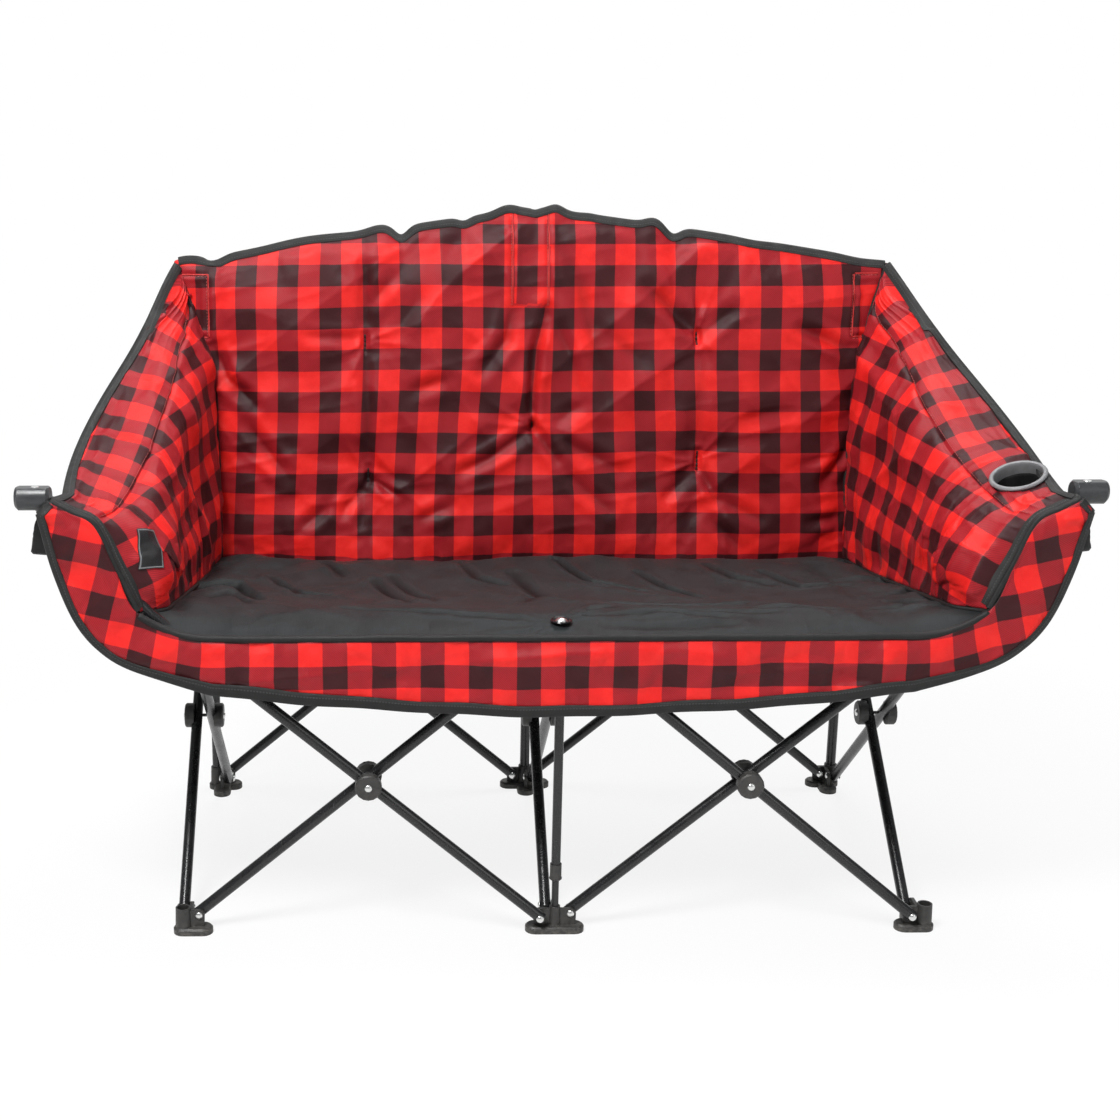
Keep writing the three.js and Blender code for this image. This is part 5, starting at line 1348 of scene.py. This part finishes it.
mesh, u, v = refine(band)
flat = band_surface(u, v)[:, [0, 2]]
inner = soft_step(np.minimum(v, 1 - v) / 0.25)
heights = inner * (0.0036 * drapes(flat, 5, 3.0, 16.0, 91) + 0.0024 * drapes(flat, 70, 6.0, 14.0, 94))
heights += gathers((1 - v) * BAND_HEIGHT, flat[:, 0], 0.035, 0.006, (22.0, 6.0), 92)
heights += gathers(v * BAND_HEIGHT, flat[:, 0], 0.03, 0.0045, (26.0, 6.0), 93)
press(band, heights * hem_calm(v * BAND_HEIGHT))
write_cloth_map(mesh, band_cloth_map(flat))
print("band:", len(mesh.polygons), "faces")

# %% [markdown]
# ## Binding tape and piping
# Every raw edge of the cover is folded into a ribbed tape, and the seams between panels hide a thin cord. The
# tape is a U-shaped ring swept along the edge. It feels for the pad on both sides, so it follows each
# gather and never sinks into the cloth.

# %% Sweeps
TAPE_NOSE = 0.0034
FELT_AT = ((0.2, 0.45), (0.75, 1.0))
WELT_UP = [0.13, 0.31, 0.94]


def sweep(name, line, inward, out, rings, material):
    """A closed strip: rings holds, for each point of the line, its profile as (inward, out) pairs."""
    bm = bmesh.new()
    run_layer, width_layer = bm.verts.layers.float.new("u"), bm.verts.layers.float.new("v")
    ring = [bm.verts.new(line[0]) for _ in range(rings.shape[1])]
    edges = first = [bm.edges.new(pair) for pair in zip(ring, ring[1:] + ring[:1])]
    run = 0.0
    for i in range(len(line)):
        if i:
            run += float(np.linalg.norm(line[i] - line[i - 1]))
            made = bmesh.ops.extrude_edge_only(bm, edges=edges)["geom"]
            fresh = {g for g in made if isinstance(g, bmesh.types.BMVert)}
            edges = [g for g in made if isinstance(g, bmesh.types.BMEdge) and fresh.issuperset(g.verts)]
            ring = [next(e.other_vert(old) for e in old.link_edges if e.other_vert(old) in fresh)
                    for old in ring]
        for vert, (a, b) in zip(ring, rings[i]):
            vert.co = line[i] + inward[i] * a + out[i] * b
            vert[run_layer] = run
            vert[width_layer] = a
    bmesh.ops.edgeloop_fill(bm, edges=first)
    bmesh.ops.edgeloop_fill(bm, edges=edges)
    piece = closed_object(bm, name, [material], angle=60)
    map_from_layers(piece.data, "u", "v")
    return piece


def map_from_layers(mesh, first, second):
    write_cloth_map(mesh, np.stack([read_layer(mesh, first), read_layer(mesh, second)], axis=1))


def tree_of(piece):
    bm = bmesh.new()
    bm.from_mesh(piece.data)
    found = BVHTree.FromBMesh(bm)
    bm.free()
    return found


def with_ends(values):
    return np.concatenate([values[:1], values, values[-1:]])


def blurred(values, passes):
    for _ in range(passes):
        padded = with_ends(values)
        values = (padded[:-2] + 2 * padded[1:-1] + padded[2:]) / 4
    return values


def rim_frame(surface, u, v, sign):
    """An edge of a surface: its points, the way in over the cloth and the way out of it."""
    line = surface(u, v)
    out = facing(surface, u, v, sign)
    inner = surface(mix(0.5, u, 0.96), mix(0.5, v, 0.96)) - line
    inward = np.cross(out, unit(np.gradient(line, axis=0)))
    inward *= np.sign(np.sum(inward * inner, axis=1, keepdims=True))
    return line, unit(blurred(inward, 14)), out


def feel(tree, point, direction, reach=0.03):
    """How far the pad stands up from a point."""
    hit = tree.ray_cast(Vector(point + direction * reach), Vector(-direction))[0]
    if hit is None or (hit - Vector(point)).length > reach:
        return 0.003
    return float(np.clip((np.array(hit) - point) @ direction, 0.002, 0.014))


def smooth_run(values):
    for _ in range(2):
        padded = with_ends(values)
        values = np.maximum(np.maximum(padded[:-2], padded[1:-1]), padded[2:])
    return blurred(values, 6)


def bound_edge(name, pad, surface, u, v, sign, width, over=0.0012):
    """A tape folded over an edge. Each of its two sides is as high as the cloth under it, and a bit over."""
    line, inward, out = rim_frame(surface, u, v, sign)
    tree = tree_of(pad)

    def heights(way):
        felt = [[max(feel(tree, p + i * width * s, o * way) for s in pair) for pair in FELT_AT]
                for p, i, o in zip(line, inward, out)]
        return smooth_run(np.array(felt)) + over

    def ring(front, rear):
        return [(width, -rear[1]), (width * 0.35, -rear[0]), (0.0, -TAPE_NOSE - 0.0004),
                (-0.0026, -TAPE_NOSE * 0.7), (-0.0038, 0.0), (-0.0026, TAPE_NOSE * 0.7),
                (0.0, TAPE_NOSE + 0.0004), (width * 0.35, front[0]), (width, front[1]),
                (width + 0.0006, front[1] - 0.0016), (width + 0.0006, 0.0016 - rear[1])]

    rings = np.array([ring(f, r) for f, r in zip(heights(1), heights(-1))])
    return sweep(name, line, inward, out, rings, TAPE)


def welt(name, line, radius, material=BLACK_CLOTH, sides=10):
    """A round cord along a seam."""
    tangent = unit(np.gradient(line, axis=0))
    inward = unit(np.cross(tangent, WELT_UP))
    out = np.cross(tangent, inward)
    angles = np.linspace(0, 2 * np.pi, sides, endpoint=False)
    ring = np.stack([np.cos(angles) * radius, np.sin(angles) * radius], axis=1)
    return sweep(name, line, inward, out, np.repeat(ring[None], len(line), axis=0), material)


# %% [markdown]
# ## Edges of the back and the arms
# The tape runs over the top of the back, down both rolled arm edges and round the front of each arm. Cords
# lie in the seams where the back, the arms and the seat meet, and along the front of each arm.

# %% Back and arm trims
def along_u(start, end, v, count):
    """Even places along u, at one v."""
    return np.linspace(start, end, count), np.full(count, float(v))


def along_v(u, start, end, count):
    return np.full(count, float(u)), np.linspace(start, end, count)


with_back(bound_edge("back_top_tape", back, back_surface, *along_u(0.006, 0.994, 1, 260), 1, width=0.0085))
foot_line = back_surface(*along_u(0, 1, 0, 160)) + np.array([0, -0.004, -0.001])
with_back(welt("back_foot_cord", foot_line, 0.0055))
for name, side, arm, surface in ARMS:
    for part, place, width in (
            ("edge", along_u(0, 0.985, 0, 150), 0.0105),
            ("front", along_v(1, 0, 0.985, 110), 0.009)):
        with_arm(bound_edge(f"{name}_arm_{part}_tape", arm, surface, *place, -side, width=width))
    for part, place, shift, radius in (
            ("corner", along_v(0, 0, 1, 100), [-0.002 * side, 0.0035, 0], 0.0034),
            ("front", along_v(1, 0.04, 0.99, 100), [0, -0.0015, 0], 0.0046),
            ("seat", along_u(0, 1, 1, 100), [-0.001 * side, 0, -0.0035], 0.0036)):
        with_arm(welt(f"{name}_{part}_cord", surface(*place) + np.array(shift), radius))
print("back and arm trims made")

# %% [markdown]
# ## Edges of the seat and the band
# The seat's front edge is a soft rolled hem that laps over the band. Tape binds the band's lower edge and
# both its ends.

# %% Seat and band trims
BAND_STEPS = 420

band_tape = bound_edge("front_band_tape", band, band_surface, *along_u(0, 1, 0, BAND_STEPS), 1, width=0.0085,
                       over=0.0016)
tip_tapes = {name: bound_edge(f"{name}_tip_tape", band, band_surface, *along_v(u, 0, 1, 30), 1, width=0.007)
             for name, u in (("left", 0), ("right", 1))}
hem = seat_surface(*along_u(0.002, 0.998, 0, BAND_STEPS))
hem_wave = ripple(np.stack([hem[:, 0], hem[:, 0] * 0], axis=1), (17.0, 1.0), 12)
hem += np.stack([0 * hem_wave, -0.0040 - 0.0008 * hem_wave, 0.0040 + 0.0010 * hem_wave], axis=1)
seat_hem = welt("seat_hem", hem, 0.0050, sides=12)
print("seat and band trims made")

# %% [markdown]
# ## Stitches and tacks
# Each pocket seam is a thin red cord with one row of stitches beside it, and each tack is a short bar of
# thread. One more row runs along the ridge of each arm. All are laid on the finished cloth by casting rays.

# %% Stitches
STITCH_INSET = 0.0026
RIDGE_ROW_V = 0.488


def capsule(bm, start, end, radius):
    along = end - start
    bmesh.ops.create_cone(bm, cap_ends=True, segments=5, radius1=radius, radius2=radius * 0.8,
                          depth=along.length, matrix=frame_from((start + end) / 2, along))


def lay(tree, point, direction, lift):
    """The point on the cloth that a ray through this point meets, lifted a little off it."""
    point, direction = Vector(point), Vector(direction).normalized()
    hit, normal, _, _ = tree.ray_cast(point - direction * 0.08, direction)
    if hit is None:
        return point
    normal = normal if normal.dot(direction) < 0 else -normal
    return hit + normal * lift


def stitch_row(bm, tree, start, end, direction, pitch=0.0046, gap=0.35, radius=0.00042):
    a, b = Vector(start), Vector(end)
    steps = max(1, int((b - a).length / pitch))
    for i in range(steps):
        first, last = (lay(tree, a.lerp(b, share / steps), direction, 0.0003) for share in (i, i + 1 - gap))
        if (last - first).length > 1e-4:
            capsule(bm, first, last, radius)


INTO_BACK = (0, 1, 0)
back_tree = tree_of(back)
bm = bmesh.new()
for (x0, z0), (x1, z1) in POCKET_LINES:
    dx, dz = (0, -STITCH_INSET) if abs(x1 - x0) > abs(z1 - z0) else (-STITCH_INSET, 0)
    stitch_row(bm, back_tree, (x0 + dx, 0.2, z0 + dz), (x1 + dx, 0.2, z1 + dz), INTO_BACK)
with_back(closed_object(bm, "pocket_stitches", [THREAD_RED_AND_HIGHLIGHT]))
for i, ((x0, z0), (x1, z1)) in enumerate(POCKET_LINES):
    spots = [lay(back_tree, (mix(x0, x1, t), 0.2, mix(z0, z1, t)), INTO_BACK, 0.0004)
             for t in np.linspace(0, 1, 30)]
    with_back(welt(f"pocket_seam_{i}", np.array([tuple(s) for s in spots]), 0.0011, SEAM_RED, sides=8))
bm = bmesh.new()
for x, z, half in BACK_TACKS:
    for offset in (-0.0012, 0.0, 0.0012):
        stitch_row(bm, back_tree, (x + offset, 0.2, z - half), (x + offset * 0.6, 0.2, z + half), INTO_BACK,
                   pitch=0.006, gap=0.12, radius=0.0006)
with_back(closed_object(bm, "tack_stitches", [THREAD]))
for name, side, arm, surface in ARMS:
    tree = tree_of(arm)
    bm = bmesh.new()
    row = along_u(0.04, 0.97, RIDGE_ROW_V, 24)
    path = surface(*row)
    for a, b, out in zip(path, path[1:], facing(surface, *row, -side)):
        stitch_row(bm, tree, a, b, -out)
    with_arm(closed_object(bm, f"{name}_arm_stitches", [THREAD_RED_AND_HIGHLIGHT]))
print("stitches laid")

# %% [markdown]
# ## Blank patch
# A small blank patch with a grey border sits on the left arm. It is laid on the cloth, then smoothed without
# sinking below it, as a stiff patch bridges small folds.

# %% Patch
PATCH_PLACE = (np.array(0.918), np.array(0.715))
PATCH_WIDTH, PATCH_HEIGHT = 0.036, 0.058
PATCH_TURN = math.radians(-18)
PATCH_BLACK = plain_cloth("patch_black", (0.006, 0.006, 0.007), (0.011, 0.011, 0.012), 0.4, 0.5, pitch=0.0007)
PATCH_BORDER = plain_cloth("patch_border", (0.10, 0.10, 0.105), (0.16, 0.16, 0.165), 0.5, 0.6, pitch=0.0006)


def patch():
    outward = Vector(facing(left_arm_surface, *PATCH_PLACE, 1))
    centre = Vector(left_arm_surface(*PATCH_PLACE))
    place = frame_from(centre, outward, UP - outward * outward.z) @ Matrix.Rotation(PATCH_TURN, 4, "Z")
    tree = tree_of(left_arm)
    bm = bmesh.new()
    bmesh.ops.create_grid(bm, x_segments=18, y_segments=26, size=0.5)
    layer = bm.loops.layers.uv.new("cloth")
    flat = {vert: (vert.co.x * PATCH_WIDTH, vert.co.y * PATCH_HEIGHT) for vert in bm.verts}
    for face in bm.faces:
        x, y = face.calc_center_median()[:2]
        rim = min(0.5 - abs(x), (0.5 - abs(y)) * PATCH_HEIGHT / PATCH_WIDTH)
        face.material_index = 1 if 0.04 < rim < 0.11 else 0
        for loop in face.loops:
            loop[layer].uv = flat[loop.vert]
    for vert in bm.verts:
        vert.co = lay(tree, place @ Vector((*flat[vert], 0)), -outward, 0.0013)
    laid = [vert.co.dot(outward) for vert in bm.verts]
    for _ in range(8):
        bmesh.ops.smooth_vert(bm, verts=bm.verts, factor=0.5, use_axis_x=True, use_axis_y=True,
                              use_axis_z=True)
        for vert, least in zip(bm.verts, laid):
            vert.co += outward * max(0.0, least - vert.co.dot(outward))
    bmesh.ops.recalc_face_normals(bm, faces=bm.faces)
    if sum((f.normal for f in bm.faces), Vector()).dot(outward) < 0:
        bmesh.ops.reverse_faces(bm, faces=bm.faces)
    made = object_from(bm, "arm_patch", [PATCH_BLACK, PATCH_BORDER])
    body = made.modifiers.new("thickness", "SOLIDIFY")
    body.thickness = 0.0012
    body.offset = -0.4
    return with_arm(made)


patch()
print("patch laid")

# %% [markdown]
# ## Cup holder
# A grey ring is clamped through the right arm, and a black sleeve hangs under it. The ring is spun from its
# profile. The sleeve starts square to the cloth and hangs straight down, with the soft waves of thin cloth.

# %% Cup holder
RING_PROFILE = [(0.0318, -0.0066), (0.0342, -0.0066), (0.0342, 0.0062), (0.0372, 0.0064), (0.0384, 0.0072),
                (0.0388, 0.0084), (0.0384, 0.0096), (0.0370, 0.0108), (0.0348, 0.0112), (0.0330, 0.0106),
                (0.0322, 0.0092), (0.0318, 0.0070), (0.0318, -0.0066)]
BAG_RADIUS, BAG_DEPTH, BAG_CLAMPED = 0.0322, 0.098, 0.02


def turned_shape(name, profile, place, material, steps=64, angle=35):
    bm = bmesh.new()
    spin_profile(bm, profile, place, steps)
    return closed_object(bm, name, [material], angle)


def hang_bag(bm):
    """Lets the cup's sleeve hang: its first part is square to the cloth, and the rest points down."""
    start = frame_from(Vector(cup_centre - cup_out * 0.0045), Vector(cup_out))
    turn_to_cloth = start.to_3x3()
    for vert in bm.verts:
        depth, turn = BAG_DEPTH / 2 - vert.co.z, math.atan2(vert.co.y, vert.co.x)
        waves = 0.0009 * math.sin(9 * turn + depth * 60) + 0.0013 * math.sin(4 * turn - depth * 45 + 1.2)
        share = float(soft_step(np.array((depth - 0.004) / 0.045)))
        radius = math.hypot(vert.co.x, vert.co.y)
        wavy = waves / 0.032 * min(1, depth / 0.02) if radius > 0.03 else 0
        radius *= 1 - 0.09 * depth / BAG_DEPTH + wavy
        outward = turn_to_cloth @ Vector((math.cos(turn), math.sin(turn), 0))
        hanging = outward.to_2d().normalized() * radius
        square = turn_to_cloth @ Vector((0, 0, -min(depth, BAG_CLAMPED)))
        sunk = start.translation + square - UP * max(0.0, depth - BAG_CLAMPED)
        vert.co = sunk + (outward * radius).lerp(Vector((hanging.x, hanging.y, 0)), share)


def cup_bag():
    bm = bmesh.new()
    depth_layer, round_layer = bm.verts.layers.float.new("u"), bm.verts.layers.float.new("v")
    bmesh.ops.create_cone(bm, cap_ends=False, segments=56, radius1=BAG_RADIUS, radius2=BAG_RADIUS,
                          depth=BAG_DEPTH)
    upright = [e for e in bm.edges if abs(e.verts[0].co.z - e.verts[1].co.z) > 0.01]
    bmesh.ops.subdivide_edges(bm, edges=upright, cuts=14)
    for vert in bm.verts:
        vert[depth_layer] = BAG_DEPTH / 2 - vert.co.z
        vert[round_layer] = math.atan2(vert.co.y, vert.co.x) * 0.032
    bmesh.ops.contextual_create(bm, geom=[e for e in bm.edges if e.is_boundary and e.verts[0].co.z < 0])
    for thickness, depth in ((0.006, -0.001), (0.012, 0.0008)):
        bottom = [f for f in bm.faces if len(f.verts) > 8]
        bmesh.ops.inset_region(bm, faces=bottom, thickness=thickness, depth=depth)
    hang_bag(bm)
    made = closed_object(bm, "cup_bag", [BLACK_CLOTH])
    map_from_layers(made.data, "v", "u")
    wall = made.modifiers.new("wall", "SOLIDIFY")
    wall.thickness = 0.0012
    wall.offset = 1.0
    return made


cup_place = frame_from(Vector(cup_centre), Vector(cup_out))
ring = turned_shape("cup_holder_ring", RING_PROFILE, cup_place, RING_PLASTIC)
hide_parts("cup_ring")
with_arm(ring)
bag = cup_bag()
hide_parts("cup_sleeve")
with_arm(bag)
print("cup holder made")

# %% [markdown]
# ## Button
# A press button sits near the seat's front edge. It is a low dome in a flanged cup, set in a dimple.

# %% Button
RIM_PROFILE = [(0.0, 0.0002), (0.0130, 0.0002), (0.0143, 0.0008), (0.0146, 0.0018), (0.0139, 0.0028),
               (0.0128, 0.0031), (0.0116, 0.0025), (0.0110, 0.0014), (0.0, 0.0012)]
DOME_PROFILE = [(0.0, 0.0056), (0.0026, 0.0054), (0.0052, 0.0045), (0.0074, 0.0031), (0.0084, 0.0016),
                (0.0084, 0.0006), (0.0, 0.0006)]
button_low, button_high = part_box("seat_button")
button_middle = (button_low + button_high) / 2
button_at = Matrix.Translation((button_middle.x, button_middle.y, button_low.z))
rim = turned_shape("button_rim", RIM_PROFILE, button_at, BUTTON_PLASTIC, 40)
dome = turned_shape("button_dome", DOME_PROFILE, button_at, ZINC, 32, angle=50)
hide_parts("seat_button")
for piece in (rim, dome):
    bend_with(piece)
print("button at", tuple(round(c, 3) for c in button_at.translation))

# %% [markdown]
# ## Sleeves on the arm tips and the posts
# Black cloth sleeves pull the arms out to the tube ends, and three more behind the back slip over the posts.

# %% Cloth sleeves
POUCH_TOP, POUCH_DEPTH = 0.604, 0.058
POST_SLEEVES = [("left", -POST_X, 0.868, 0.030, 0.074), ("centre", 0.0, 0.9643, 0.050, 0.150),
                ("right", POST_X, 0.8863, 0.030, 0.092)]


def loop_sleeve(name, path, radii, squareness, waves, seed):
    """A cloth sleeve along a path. radii holds its half width and half depth at each point."""
    line = np.array([tuple(p) for p in path])
    tangent = unit(np.gradient(line, axis=0))
    side = unit(np.cross(tangent, [0.0, 1.0, 0.0]))
    front = np.cross(side, tangent)
    angles = np.linspace(0, 2 * np.pi, 36, endpoint=False)
    cos, sin = np.cos(angles), np.sin(angles)
    shape = (np.abs(cos) ** squareness + np.abs(sin) ** squareness) ** (-1 / squareness)
    noise = np.random.RandomState(seed).uniform(-1, 1, (len(line), 3))[:, 0]

    def ring(i, a, b):
        wavy = 1 + waves / a * (np.sin(5 * angles + 9 * i / len(line)) + 0.5 * noise[i])
        return np.stack([cos * shape * a, sin * shape * b], axis=1) * wavy[:, None]

    rings = np.array([ring(i, a, b) for i, (a, b) in enumerate(radii)])
    return sweep(name, line, side, front, rings, BLACK_CLOTH)


def tip_sleeve(name):
    """The part of the arm's cover that is pulled over the end of the tube."""
    tip_line = TUBE_LINES[f"front_{name}_tube_centre_foot"]
    down = (tip_line[-2] - tip_line[-1]).normalized()
    path = [tip_line[-1] + down * s for s in np.linspace(0.026, 0.080, 16)]
    radii = [(0.0139 + 0.0022 * k / 15, 0.0139 - 0.0012 * k / 15) for k in range(16)]
    return loop_sleeve(f"{name}_tip_sleeve", path, radii, 2.2, 0.0007, seed=5)


def tip_pouch(name, side):
    """The loose end of the sleeve, a flat wedge of cloth that hangs below the stub."""
    heights = np.linspace(POUCH_TOP, POUCH_TOP - POUCH_DEPTH, 15)
    share = (POUCH_TOP - heights) / POUCH_DEPTH
    path = [(side * (0.682 + 0.004 * s), -0.2535 + 0.004 * s, z) for z, s in zip(heights, share)]
    close = np.sqrt(np.clip(np.minimum(share, 1 - share) / 0.05, 0.12, 1))
    radii = [(mix(0.0135, 0.0235, s ** 0.7) * (0.82 + 0.18 * c), mix(0.0095, 0.0065, s) * c)
             for s, c in zip(share, close)]
    return loop_sleeve(f"{name}_tip_pouch", path, radii, 3.2, 0.0007, seed=11)


for name, side in SIDES.items():
    pocket = f"arm_pocket_{name}"
    settle(tip_sleeve(name), BODY_OF[pocket], [pocket])
    settle(tip_pouch(name, side), BODY_OF[pocket])
for name, x, top, width, height in POST_SLEEVES:
    path = [(x, ROW_Y - 0.001, z) for z in np.linspace(top, top - height, 22)]
    close = np.sqrt(np.clip(np.linspace(0, 1, 22) / 0.06, 0.05, 1))
    radii = [(width / 2 * c, 0.0118 * c) for c in close]
    with_back(loop_sleeve(f"post_sleeve_{name}", path, radii, 2.6, 0.0006, seed=8))
print("sleeves made")

# %% [markdown]
# ## Screws in the arm ends
# A countersunk screw holds each arm end on its tube.

# %% Screws
SCREW_PROFILE = [(0.0, 0.0010), (0.0016, 0.0010), (0.0040, 0.0013), (0.0052, 0.0009), (0.0056, 0.0)]
SCREW_X = 0.694

for name, side in SIDES.items():
    low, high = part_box(f"{name}_arm_end")
    head = Matrix.Translation((side * SCREW_X, (low.y + high.y) / 2, high.z - 0.0004))
    screw = turned_shape(f"{name}_arm_screw", SCREW_PROFILE, head, ZINC, 28, angle=40)
    settle(screw, BODY_OF[f"{name}_arm_end"])
print("screws set")

# %% [markdown]
# ## Panels cut in strips
# The seat and the band cross all three pairs of side scissors. Each is cut into three strips, left, middle
# and right, whose places are baked into their meshes. Normals from the whole panel are kept, so no cut shows.

# %% Strips
STRIP_X = 0.18
STRIPS = {
    "left": (-1.0, -STRIP_X, -0.46),
    "centre": (-STRIP_X, STRIP_X, HANG_FRONT),
    "right": (STRIP_X, 1.0, -0.34),
}
BAND_NODES = {"left": "front_band_left", "centre": "front_band_middle", "right": "front_band_right"}


def in_strips(piece):
    whole = piece.data
    normals = read_vectors(whole.vertex_normals, "vector")
    kept = whole.attributes.new("whole_normal", "FLOAT_VECTOR", "POINT")
    kept.data.foreach_set("vector", normals.ravel())
    strips = {}
    for place, (low, high, front) in STRIPS.items():
        bm = bmesh.new()
        bm.from_mesh(whole)
        for x, keep_above in ((low, True), (high, False)):
            everything = bm.verts[:] + bm.edges[:] + bm.faces[:]
            bmesh.ops.bisect_plane(bm, geom=everything, plane_co=(x, 0, 0), plane_no=(1, 0, 0),
                                   clear_inner=keep_above, clear_outer=not keep_above)
        strip = object_from(bm, f"{piece.name}_{place}", list(whole.materials))
        mesh = strip.data
        kept_normals = read_vectors(mesh.attributes["whole_normal"].data, "vector")
        mesh.normals_split_custom_set_from_vertices(kept_normals)
        mesh.attributes.remove(mesh.attributes["whole_normal"])
        bend_with(strip)
        strips[place] = strip
    bpy.data.objects.remove(piece)
    return strips


seat_strips = in_strips(seat)
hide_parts("seat_panel")
band_strips = in_strips(band)
for place, strip in band_strips.items():
    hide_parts(BAND_NODES[place])
for trim in (band_tape, seat_hem):
    in_strips(trim)
for name, tip in tip_tapes.items():
    with_arm(tip)
print("strips:", [p.name for p in (*seat_strips.values(), *band_strips.values())])

# %% [markdown]
# ## Floor and light
# A pale floor and backdrop keep the chair's shadow, as in a studio. Three soft lamps light the front, and a
# dim world fills in the rest. Rays that come from the camera see plain white behind the chair.

# %% Floor, backdrop and lamps
def studio_white(name, near_share, fades=False):
    material = bpy.data.materials.new(name)
    material.use_nodes = True
    tree = material.node_tree
    tree.nodes.clear()
    paper = node(tree, "ShaderNodeBsdfDiffuse", Color=(0.86, 0.86, 0.86, 1))
    glow = node(tree, "ShaderNodeEmission", Color=(1, 1, 1, 1), Strength=1.0)
    path = tree.nodes.new("ShaderNodeLightPath")
    seen = path.outputs["Is Camera Ray"]
    for ray in ("Is Glossy Ray", "Is Transmission Ray"):
        seen = number(tree, "MAXIMUM", seen, path.outputs[ray])
    share = near_share
    if fades:
        far = node(tree, "ShaderNodeVectorMath", out=1, props={"operation": "LENGTH"}, i0=place_of(tree))
        share = ramp(tree, far, 0.55, 1.5, near_share, 1.0)
    mixed = node(tree, "ShaderNodeMixShader", i0=times(tree, seen, share), i1=paper, i2=glow)
    output = tree.nodes.new("ShaderNodeOutputMaterial")
    tree.links.new(mixed, output.inputs["Surface"])
    return material


LAMPS = {
    "key": ((-1.1, -1.6, 3.0), 0.9, 114),
    "fill": ((2.3, -2.2, 1.5), 1.8, 18),
    "top": ((0.4, 0.7, 2.9), 1.4, 46),
}
LOOK_AT = Vector((0, 0, 0.5))
FLOOR_SIZE, WALL_Y = 8.0, 7.9


def studio():
    bm = bmesh.new()
    bmesh.ops.create_grid(bm, x_segments=1, y_segments=1, size=FLOOR_SIZE)
    floor = object_from(bm, "floor", [studio_white("floor_white", 0.86, True)])
    bm = bmesh.new()
    upright = Matrix.Translation((0, WALL_Y, 0)) @ Matrix.Rotation(math.pi / 2, 4, "X")
    bmesh.ops.create_grid(bm, x_segments=1, y_segments=1, size=FLOOR_SIZE, matrix=upright)
    wall = object_from(bm, "backdrop", [studio_white("backdrop_white", 1.0)])
    for name, (place, size, power) in LAMPS.items():
        data = bpy.data.lights.new(name, "AREA")
        data.energy = power
        data.size = size
        lamp = bpy.data.objects.new(name, data)
        lamp.location = place
        lamp.rotation_euler = (LOOK_AT - Vector(place)).to_track_quat("-Z", "Y").to_euler()
        scene.collection.objects.link(lamp)
    world = bpy.data.worlds.new("studio")
    world.use_nodes = True
    tree = world.node_tree
    dim = tree.nodes["Background"]
    dim.inputs["Color"].default_value = (0.92, 0.94, 0.97, 1)
    dim.inputs["Strength"].default_value = 0.22
    white = node(tree, "ShaderNodeBackground", Color=(1, 1, 1, 1), Strength=1.0)
    seen = tree.nodes.new("ShaderNodeLightPath").outputs["Is Camera Ray"]
    mixed = node(tree, "ShaderNodeMixShader", i0=seen, i1=dim.outputs[0], i2=white)
    tree.links.new(mixed, tree.nodes["World Output"].inputs["Surface"])
    scene.world = world


studio()
scene.view_settings.view_transform = "Standard"
print("studio: floor, backdrop and", len(LAMPS), "lamps")

# %% [markdown]
# ## The end
# The cover may stand a little proud of the CAD model but never changes its size.

# %% End
print("scene built")
